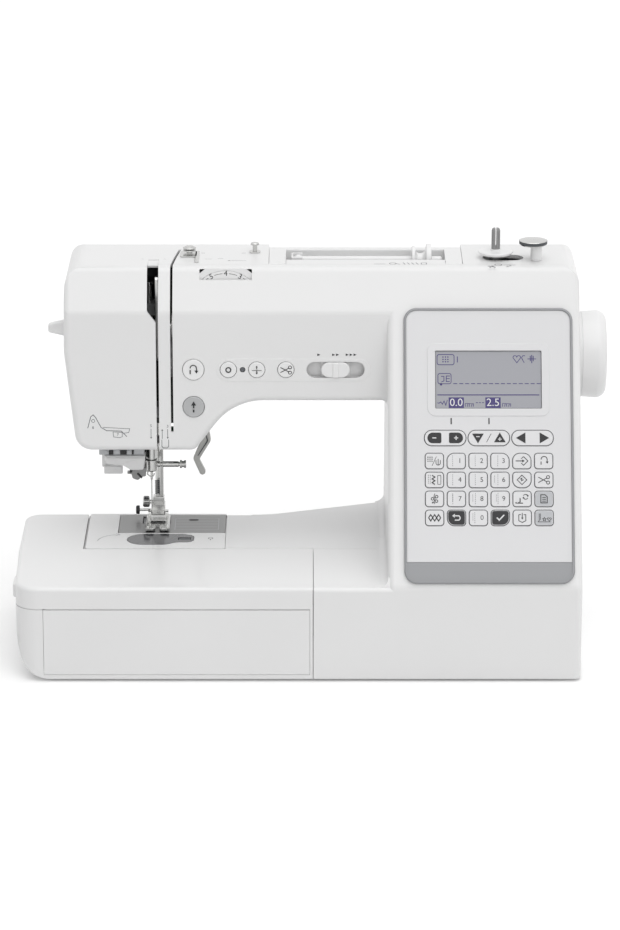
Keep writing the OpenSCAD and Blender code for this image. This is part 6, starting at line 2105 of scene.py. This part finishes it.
@dataclass
class PresserWork(SubAssembly):
    """The presser bar, its spring, the holder, the foot and the lever that lifts it."""

    x: float = -109.5
    y: float = 55.0
    bar_r: float = 3.0
    foot_x: float = -110.3
    pin_y: float = 48.0
    pin_z: float = 75.0

    def build(self) -> None:
        """Builds the bar, spring, holder, foot and lever."""
        profile = [
            (0, 85), (self.bar_r, 85, 0.3), (self.bar_r, 205.5), (5.6, 205.5, 0.4), (5.6, 211.5, 0.4),
            (self.bar_r, 211.5), (self.bar_r, 244.5, 0.8), (0, 244.5)]
        self.dress(lathe(Z, (self.x, self.y), profile), "presser_bar_rod", "bright_steel", "presser_bar")
        self.spring()
        self.holder()
        self.foot()
        self.lever()

    def spring(self) -> None:
        """Winds the spring that presses the bar down."""
        turns, low, high, radius = 6, 212.4, 219.0, self.bar_r + 1.1
        steps = turns * 24
        wire = []
        for i in range(steps + 1):
            t = 2 * math.pi * turns * i / steps
            x, y = self.x + radius * math.cos(t), self.y + radius * math.sin(t)
            wire.append((x, y, low + (high - low) * i / steps))
        self.dress(tube(wire, 0.55, 8), "presser_spring_coil", "steel", "presser_spring")

    def holder(self) -> None:
        """Builds the shank that the foot snaps onto, with its thumb screw and release button."""
        upper = soft_block((self.x - 4.8, self.y - 4, 79), (self.x + 3.4, self.y + 4, 85.5), 0.9, 3)
        lower = soft_block(
            (self.foot_x - 4.9, self.pin_y - 3, 73.4), (self.foot_x + 4.9, self.y + 2, 81), 0.8, 3)
        step = block((self.foot_x - 6, self.pin_y - 5, 76.6), (self.foot_x + 6, self.pin_y - 1.6, 82))
        shank = cut(unite(upper, lower), step)
        shank = cut(shank, rod(X, (self.pin_y, self.pin_z), 1.15, self.foot_x - 6, self.foot_x + 6, 32))
        self.dress(shank, "foot_holder_shank", "bright_steel", "foot_holder")
        profile = [
            (0, -121.5), (3.4, -121.5, 0.4), (3.9, -120.8, 0.3), (3.9, -117.2, 0.3), (3.3, -116.6, 0.3),
            (1.5, -116.5), (1.5, -112.3, 0.2), (0, -112.3)]
        slot = block((-122, self.y - 5, 80.3), (-120.7, self.y + 5, 81.3))
        screw = cut(lathe(X, (self.y, 80.8), profile), slot)
        self.dress(screw, "foot_holder_screw", "bright_steel", body="presser_bar")
        # Near-black lines in the thumb screw's grooves: painted shade of the grooves.
        groove = block((-120.7, -0.35, 3.7), (-117.3, 0.35, 4.0))
        grip = spread(groove, 18, Vector((1, 0, 0)), self.palette["dark_plastic"])
        grip = moved(grip, Matrix.Translation((0, self.y, 80.8)))
        self.dress(grip, "foot_screw_groove_shade", "dark_plastic", body="presser_bar")
        stem = rod(X, (self.y, 74.6), 0.9, -124.2, self.foot_x - 4.6, 24)
        knob = [(0, -126.6), (2.8, -126.6, 0.7), (3.2, -125.4, 0.4), (3.2, -124, 0.5), (0, -123.8)]
        self.dress(stem, "release_stem", "bright_steel", body="presser_bar")
        self.dress(lathe(X, (self.y, 74.6), knob, 32), "release_button", "dark_plastic", body="presser_bar")
        turns = [2 * math.pi * k / 16 for k in range(16 * 7 + 1)]
        x, y, radius = self.x - 1.4, self.y - 4.8, 1.5
        wire = [(x + radius * math.cos(t), y + radius * math.sin(t), 88 + 0.24 * t) for t in turns]
        coil = tube(wire, 0.4, 8)
        self.dress(coil, "bar_side_coil", "motor_steel", body="presser_bar", slot="dark_plastic")

    def foot(self) -> None:
        """Builds the foot with its turned-up toes, needle hole, cheeks and pin."""
        x0, x1 = self.foot_x - 8.5, self.foot_x + 8.5
        side: list[Corner] = [
            (21, 69.9, 0.3), (26, 68.3, 8), (48, 68.3), (55, 69.6, 0.3), (55, 70.8, 0.3), (48, 70.1),
            (26, 70.1, 8), (21, 71.5, 0.3)]
        sole = common(slab(X, side, x0, x1), slab(Z, oblong((x0, 21), (x1, 55), 2), 60, 80))
        hole = slab(Z, oblong((self.foot_x - 5.5, 36), (self.foot_x + 5.5, 43), 1.5), 60, 75)
        gap = block((self.foot_x - 1.5, 10, 60), (self.foot_x + 1.5, 33, 80))
        mouth = [
            (self.foot_x - 3, 20), (self.foot_x + 3, 20), (self.foot_x + 1.5, 25), (self.foot_x - 1.5, 25)]
        sole = cut(sole, hole, gap, prism(Z, mouth, 60, 80))
        cheek_side: list[Corner] = [(44.5, 69.8), (52, 69.8), (51.5, 76.6, 2), (45, 76.6, 2)]
        cheeks = [slab(X, cheek_side, x - 1, x + 1) for x in (self.foot_x - 6.2, self.foot_x + 6.2)]
        ribs = [soft_block((x - 0.9, 27, 69.8), (x + 0.9, 46, 71.4), 0.4, 2) for x in (x0 + 1.6, x1 - 1.6)]
        pin = rod(X, (self.pin_y, self.pin_z), 0.9, self.foot_x - 6.2, self.foot_x + 6.2, 24)
        self.dress(unite(sole, *cheeks, *ribs, pin), "presser_foot_pressed", "bright_steel", "presser_foot")

    def lever(self) -> None:
        """Builds the lever at the back of the head that lifts the foot."""
        side: list[Corner] = [
            (-87, 158.5, 3.9), (-85, 138, 6), (-78.6, 127.4, 4), (-85.5, 111, 3), (-79.5, 97, 2.2),
            (-76.2, 100.8, 2.2), (-81, 110.5, 3), (-72.5, 124.5, 4), (-78.2, 158.5, 3.9)]
        arm = pillow(Y, side, 61, 66, (0.9, 0.9))
        arm = cut(arm, rod(Y, (-83, 154.5), 2.05, 55, 70, 32))
        self.dress(arm, "foot_lever_arm", "lever_grey", "foot_lever")
        # A dark strip near the lever's right edge: painted shade of its side face.
        edge: list[Corner] = [
            (-82.2, 113.5), (-81.7, 113.5), (-74.5, 124.6, 2), (-77.9, 137), (-78.5, 137), (-75.4, 124.8, 2)]
        edge_shade_strip = slab(Y, edge, 60.6, 61.2)
        self.dress(edge_shade_strip, "foot_lever_edge_shade", "motor_steel", body="foot_lever", slot="grey_button")


@dataclass
class ThreadWork(SubAssembly):
    """The take-up lever, the needle threader and the buttonhole lever."""

    take_up_x: tuple[float, float] = (-109.7, -107.1)
    hub: Point = (22.0, 200.5)
    buttonhole_stem: tuple[Corner, Corner] = ((-150, 44.5, 110), (-144, 47.5, 198.5))
    buttonhole_grip: tuple[Corner, Corner] = ((-148.5, 42, 105.6), (-135.2, 47.5, 111.6))

    def build(self) -> None:
        """Builds the levers."""
        self.take_up()
        self.threader()
        self.threader_grip()
        self.buttonhole()

    def take_up(self) -> None:
        """Builds the take-up lever: hub, arm and eye."""
        low, high = self.take_up_x
        arm = pillow(
            X, [(17, 200.5, 2), (27, 200.5, 2), (18.6, 258.5, 3), (11.6, 258.5, 3)], low, high, (0.4, 0.4))
        hub = lathe(X, self.hub, [(0, low), (5, low, 0.4), (5, high, 0.4), (0, high)])
        holes = (rod(X, self.hub, 2.55, low - 1, high + 1), rod(X, (15, 254.5), 1.2, low - 1, high + 1, 24))
        self.dress(cut(unite(arm, hub), *holes), "take_up_arm", "bright_steel", "take_up_lever")

    def threader(self) -> None:
        """Builds the needle threader below the head."""
        front: list[Corner] = [
            (-146.4, 118.2, 3), (-134, 117, 3), (-128.5, 113.6, 2), (-119.4, 113.8, 2), (-118.2, 124.6, 0.6),
            (-147.2, 124.6, 0.6)]
        shell = pillow(Y, front, 25, 34.6, (1.4, 0.5))
        rear = oblong((-146.6, 116.5), (-122, 124.6), 1)
        lip = [
            (-146, 119.8, 0.5), (-134, 119, 3), (-127, 121, 4), (-120, 121.6), (-120, 123.2),
            (-146, 123.2, 0.5)]
        whole = unite(
            shell, pillow(Y, rear, 33, 40.6, (0, 0.5)), pillow(Y, lip, 24.4, 26, (0.5, 0)),
            rod(Z, (-140, 35), 2, 120, 201.5, 32))
        self.dress(whole, "threader_shell", "white_button", "threader_unit")
        plate: list[Corner] = [
            (-131.2, 110.4, 0.4), (-128.2, 110, 0.4), (-127.6, 107, 1.6), (-123.4, 105.4, 2),
            (-121.6, 108, 0.6), (-119.8, 108.2, 0.4), (-118, 108.6, 1), (-118, 114.5), (-128, 114.5, 0.6),
            (-128.8, 111.9, 0.6), (-131.2, 111.9, 0.3)]
        hook = pillow(Y, plate, 27.4, 31, (0.4, 0.4))
        self.dress(hook, "threader_hook_plate", "plate_steel", body="threader_unit", slot="steel")
        # Dark fills over the hook's notch and the gap beside it: painted shade of these hollows.
        notch: list[Corner] = [
            (-124.6, 110.6, 0.3), (-121.4, 106.9, 0.3), (-120.4, 108, 0.3), (-123.4, 111.4, 0.3)]
        gap: list[Corner] = [
            (-129.8, 111.4, 0.4), (-127.8, 111.4, 0.4), (-127.4, 114.3, 0.4), (-129, 114.6, 0.4)]
        notch_shades = gather([slab(Y, notch, 27.1, 28), slab(Y, gap, 26.8, 30)])
        self.dress(notch_shades, "threader_notch_shade", "dark_plastic", body="threader_unit")
        rail = unite(block((-151, 26, 124.9), (-122, 40.4, 131)), block((-123, 26, 124.9), (-119, 34.6, 131)))
        pins = [rod(Y, (x, 127.3), r, 25.2, 26.4, 24) for x, r in ((-146, 1.2), (-138, 1.7), (-130, 1.1))]
        rail = unite(soften(rail, 0.5, segments=2), *pins)
        self.dress(rail, "threader_rail", "frame_cast", body="threader_unit", slot="steel")
        places = ((-144, 3.2), (-136, 4.6), (-127.8, 1.4))
        strips = [block((x, 25.4, 125.4), (x + wide, 26.4, 128.6)) for x, wide in places]
        self.dress(gather(strips), "threader_shadows", "dark_plastic", body="threader_unit")

    def threader_grip(self) -> None:
        """Builds the grip at the left that pulls the threader down."""
        front: list[Corner] = [
            (-185.5, 214.5, 1.6), (-168.5, 210.5, 0.4), (-168.5, 224.5, 0.4), (-185.5, 220.5, 2.4)]
        grip = pillow(Y, front, 27.4, 32.6, (1.4, 1.4))
        root = soft_block((-168.9, 25, 210.5), (-163.5, 34, 224.5), 0.5, 2)
        self.dress(unite(grip, root), "threader_grip", "white_button", "threader_lever")

    def buttonhole(self) -> None:
        """Builds the lever that is pulled down for buttonholes."""
        stem = soft_block(*self.buttonhole_stem, 0.7, 3)
        grip = soft_block(*self.buttonhole_grip, 0.9, 3)
        self.dress(unite(stem, grip), "buttonhole_grip", "white_button", "buttonhole_lever")


# ---------------------------------------------------------------- handwheel, feet, sockets and boards
@dataclass
class Handwheel(SubAssembly):
    """The handwheel on the right."""

    centre: Point = (Y_NEEDLE, SHAFT_Z)
    face: float = X_WHEEL
    radius: float = 31.0
    ribs: int = 90

    def build(self) -> None:
        """Builds the wheel with its dished face and the ribs round its rim."""
        profile = [
            (0, 199), (5.05, 199), (5.05, 194), (26, 194, 1), (26, 186), (29.4, 186, 0.5), (30, 187.6, 0.3),
            (30, 188.6), (29.5, 188.8), (29.5, 189.4), (30.1, 189.6), (self.radius, 201.5, 6),
            (28, self.face, 5), (20.5, self.face, 0.6), (19.5, self.face - 0.9, 0.8), (0, self.face - 0.6)]
        wheel = lathe(X, self.centre, profile, 128)
        self.dress(wheel, "handwheel_moulding", "white_cover", "handwheel")
        rib = block((self.face - 0.9, -0.28, 21.6), (self.face - 0.05, 0.28, 26.6))
        ring = spread(rib, self.ribs, Vector((1, 0, 0)), self.palette["white_cover"])
        ring = moved(ring, Matrix.Translation((0, *self.centre)))
        self.dress(ring, "handwheel_ribs", "white_cover", body="handwheel")


@dataclass
class Underside(SubAssembly):
    """The rubber feet, the screws of the rear cover and the handle's pivots."""

    feet: tuple[Point, ...] = (
        (-138.8, 0.5), (-138.8, 36.5), (20.9, -79.5), (167, -79.5), (58, 75.5), (165, 75.5))
    foot_r: float = 7.0
    screws: tuple[Point, ...] = ((-94.5, 201.5), (64, 201.5), (173, 201.5))
    screw_r: float = 3.2
    pivot_r: float = 2.0
    pivot_l: float = 2.8

    def build(self) -> None:
        """Builds the feet, the screws and the handle's pivots."""
        profile = [
            (0, 0.3), (self.foot_r - 2.4, 0.3, 0.3), (self.foot_r - 2, 0, 0.2), (self.foot_r - 0.6, 0, 0.4),
            (self.foot_r, 2), (0, 2)]
        feet = [lathe(Z, place, profile, 40) for place in self.feet]
        self.dress(gather(feet), "rubber_foot_set", "foot_rubber", "rubber_feet")
        heads = []
        profile = [(0, 80), (self.screw_r, 80), (self.screw_r, 80.5, 0.2), (2, 81.2, 0.4), (0, 81.2)]
        for x, z in self.screws:
            lying_slot = block((x - 2, 80.7, z - 0.35), (x + 2, 82, z + 0.35))
            upright_slot = block((x - 0.35, 80.7, z - 2), (x + 0.35, 82, z + 2))
            heads.append(cut(lathe(Y, (x, z), profile, 32), lying_slot, upright_slot))
        ends = ((RECESS_X0, RECESS_X0 + self.pivot_l), (RECESS_X1 - self.pivot_l, RECESS_X1))
        heads += [rod(X, HANDLE_PIVOT, self.pivot_r, low, high, 32) for low, high in ends]
        self.dress(gather(heads), "cover_screws", "steel", "fasteners")


@dataclass
class Sockets(SubAssembly):
    """The power switch, the mains inlet, the jack and the feed lever, at the right end and the back."""

    switch_box: tuple[Corner, Corner] = ((169, 7, 24), (182.5, 26, 48))
    switch_hole: tuple[Corner, Corner] = ((171, 9.9, 24.8), (185, 23.1, 47.2))
    inlet: Point = (48.5, 36.0)
    inlet_box: tuple[Corner, Corner] = ((167, 38.8, 29.3), (185.5, 58.2, 42.7))
    inlet_hole: tuple[Point, Point] = ((40.5, 31), (56.5, 41))
    inlet_lip: tuple[Point, Point] = ((39, 29.5), (58, 42.5))
    inlet_r: float = 4.9
    pin_y: Point = (-3.5, 3.5)
    pin_r: float = 1.2
    jack: Point = (74.5, 36.0)
    rocker: Point = (177, 36)
    rocker_r: float = 11.5
    rocker_y: Point = (10.3, 22.7)

    def build(self) -> None:
        """Builds the socket housings, the rocker and the lever that drops the feed."""
        switch = cut(block(*self.switch_box), block(*self.switch_hole))
        hole = oblong(*self.inlet_hole, self.inlet_r)
        inlet = cut(block(*self.inlet_box), pillow(X, hole, 173, 187, (0.3, 0)))
        lip = pillow(X, oblong(*self.inlet_lip, 2), 184.8, 185.6, (0, 0.3))
        inlet = unite(inlet, cut(lip, slab(X, hole, 180, 190)))
        profile = [(0, 171), (4.8, 171), (4.8, 185.8, 0.5), (1.8, 185.8, 0.3), (1.8, 173), (0, 173)]
        housings = gather([switch, inlet, lathe(X, self.jack, profile, 48)])
        self.dress(housings, "socket_housings", "dark_plastic", "sockets")
        y, z = self.inlet
        pins = [rod(X, (y + side, z), self.pin_r, 172, 182, 24) for side in self.pin_y]
        self.dress(gather(pins), "inlet_pins", "bright_steel", slot="steel")
        rocker = rod(Y, self.rocker, self.rocker_r, *self.rocker_y, 96)
        rocker = common(rocker, block((178, 9.5, 26.6), (190, 23.5, 45.4)))
        rocker = unite(rocker, rod(Y, self.rocker, 2, 7.5, 25.5, 32))
        self.dress(rocker, "power_rocker", "dark_plastic", "power_switch")
        self.feed_lever()

    def feed_lever(self) -> None:
        """Builds the ridged lever that drops the feed."""
        lever = soft_block((-78.8, 62.5, 39.8), (-70.8, 69.5, 44.2), 0.7, 3)
        slide = soft_block((-81.8, 60.5, 37), (-67.8, 63.7, 47), 0.4, 2)
        ridges = [block((x, 69, 40), (x + 0.7, 69.9, 44)) for x in (-77.2, -75.1, -73.1)]
        self.dress(unite(lever, slide, *ridges), "drop_feed_grip", "dark_plastic", "drop_feed_lever")


@dataclass
class Electronics(SubAssembly):
    """The circuit boards with their parts, and the lamp over the needle."""

    board_t: float = 1.6
    upright: tuple[tuple[Corner, Corner], ...] = (
        ((-91.5, -4, 189.8), (-8, -2.4, 207.8)), ((-91.5, -4, 162.9), (-73.5, -2.4, 198.8)))
    panel_low: Corner = (69, -174.7, -6)
    panel_high: Point = (173.6, -12.7)
    power_low: Corner = (72, 0.5, 11)
    power_high: Point = (149, 52.5)
    capacitors: tuple[float, ...] = (86, 102, 118)
    capacitor_y: float = 26
    capacitor_r: float = 5
    posts: tuple[float, ...] = (-66.7, -9.8)
    post_r: float = 1.5
    lamp: Point = (-94.5, 27)
    lamp_board: tuple[Corner, Corner] = ((-100.5, 21, 143), (-88.5, 33, 144))
    lamp_arm: tuple[Corner, Corner] = ((-96, 33, 143), (-93, 60, 144))

    def build(self) -> None:
        """Builds the boards with their posts, capacitors and lamp."""
        panel = block(self.panel_low, (*self.panel_high, self.panel_low[2] + self.board_t))
        power = block(self.power_low, (*self.power_high, self.power_low[2] + self.board_t))
        boards = [*(block(*ends) for ends in self.upright), moved(panel, SLOPE), power]
        self.dress(gather(boards), "circuit_board_set", "board", "circuit_boards")
        radius = self.capacitor_r
        profile = [(0, 12.5), (radius, 12.5), (radius, 24, 1), (0, 24)]
        caps = [lathe(Z, (x, self.capacitor_y), profile, 32) for x in self.capacitors]
        posts = [rod(Y, (x, BUTTON_Z), self.post_r, -9.5, -3.9, 24) for x in self.posts]
        self.dress(gather(caps + posts), "board_parts", "dark_plastic", slot="board")
        profile = [(0, 141.5), (2.2, 140.6, 1.2), (3.6, 142, 0.8), (3.6, 143.5), (0, 143.5)]
        lamp = lathe(Z, self.lamp, profile, 32)
        self.dress(gather([block(*self.lamp_board), block(*self.lamp_arm)]), "lamp_board", "board")
        self.dress(lamp, "needle_lamp", "white_button")


# ---------------------------------------------------------------- printed signs on the covers
@dataclass
class CoverSigns(SubAssembly):
    """The threading signs on the head and the top."""

    stroke: float = 0.35

    def build(self) -> None:
        """Prints the signs."""
        self.head()
        self.top()

    def head(self) -> None:
        """Prints the threading diagram and the arrows beside the slots."""
        pen = Pen(facing(0, 0))
        pen.line(
            [(-156.5, 156.3), (-154.3, 164.6), (-152.6, 166), (-151, 164.3), (-147.2, 156.9), (-143.4, 154.5),
            (-133.1, 154.2), (-129.3, 150.2)], 0.5)
        pen.line([(-145.9, 156.9), (-127.2, 155.9), (-127.9, 153.2), (-131.8, 152.6)], self.stroke)
        pen.line(
            [(-138.9, 153.6), (-132.5, 153.2), (-132.5, 150.2), (-134.2, 149.4), (-138.5, 149.9)],
            self.stroke, True)
        pen.ring(-152.6, 161.6, 1.1, self.stroke)
        pen.text(-152.8, 156.6, "8", 2).text(-135.6, 151.6, "7", 1.9)
        pen.text(-112.4, 158, "5", 2).arrow((-112.4, 156), (-112.4, 148.6), self.stroke, 1.2)
        pen.arrow((-104.6, 148.6), (-104.6, 155.6), self.stroke, 1.2)
        pen.text(-100.8, 157.6, "3", 2).arrow((-100.8, 155.6), (-100.8, 148.6), self.stroke, 1.2)
        pen.line(
            [(-104.9, 148), (-104.9, 143), (-103.9, 141.9), (-101.2, 141.9), (-100.2, 143), (-100.2, 148)],
            self.stroke)
        self.mark(pen, "head_signs", "print_grey")

    def top(self) -> None:
        """Prints the thread's way on the top."""
        pen = Pen(lying(0, 0, TOP_Z))
        for x in (-119, -103.5):
            pen.line([(x, 24.5), (x + 1.6, 24.5)], self.stroke)
        for x in (-76.5, -48):
            pen.line([(x - 1.4, 41), (x + 1.4, 41)], 0.5)
        pen.line([(-75, 24.5), (-70, 24.5)], self.stroke).line([(-66, 26), (-62, 26)], self.stroke)
        pen.arrow((-46, 20.4), (-59, 20.4), self.stroke, 1.4)
        self.mark(pen, "top_thread_signs", "print_grey")


# ---------------------------------------------------------------- the whole machine
def paint_frame(frame: dict, palette: Palette) -> None:
    """Gives the CAD nodes that still show their procedural finishes.

    Args:
        palette: The materials.
    """
    for name, thing in frame["nodes"].items():
        slot_name = SLOT_OF.get(name)
        if slot_name is None:
            continue
        for place in thing.material_slots:
            place.material = palette[slot_name]


def note_size(label: str, sizes: dict) -> None:
    """Keeps the model's bounds under a label."""
    low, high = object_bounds()
    sizes[label] = {"low": list(low), "high": list(high)}


def main() -> None:
    """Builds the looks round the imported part."""
    logging.basicConfig(level=logging.INFO)
    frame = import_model()
    record = frame["record"]
    SLOT_OF.update({row["node"]: row["material_slot"] for row in record["subparts"]})
    BODY_OF.update({node: body for body, nodes in record["behaviour"]["bodies"].items() for node in nodes})
    sizes: dict = {}
    note_size("cad", sizes)
    build_stage()
    palette = Palette(FINISHES)
    paint_frame(frame, palette)
    for group in (
        Covers, Attachment, Plates, Top, Panel, Controls, NeedleWork, PresserWork, ThreadWork, Handwheel,
        Underside, Sockets, Electronics, CoverSigns):
        group(palette).build()
    note_size("visual", sizes)
    LOG.info("sizes %s", sizes)


if __name__ == "__main__":
    main()
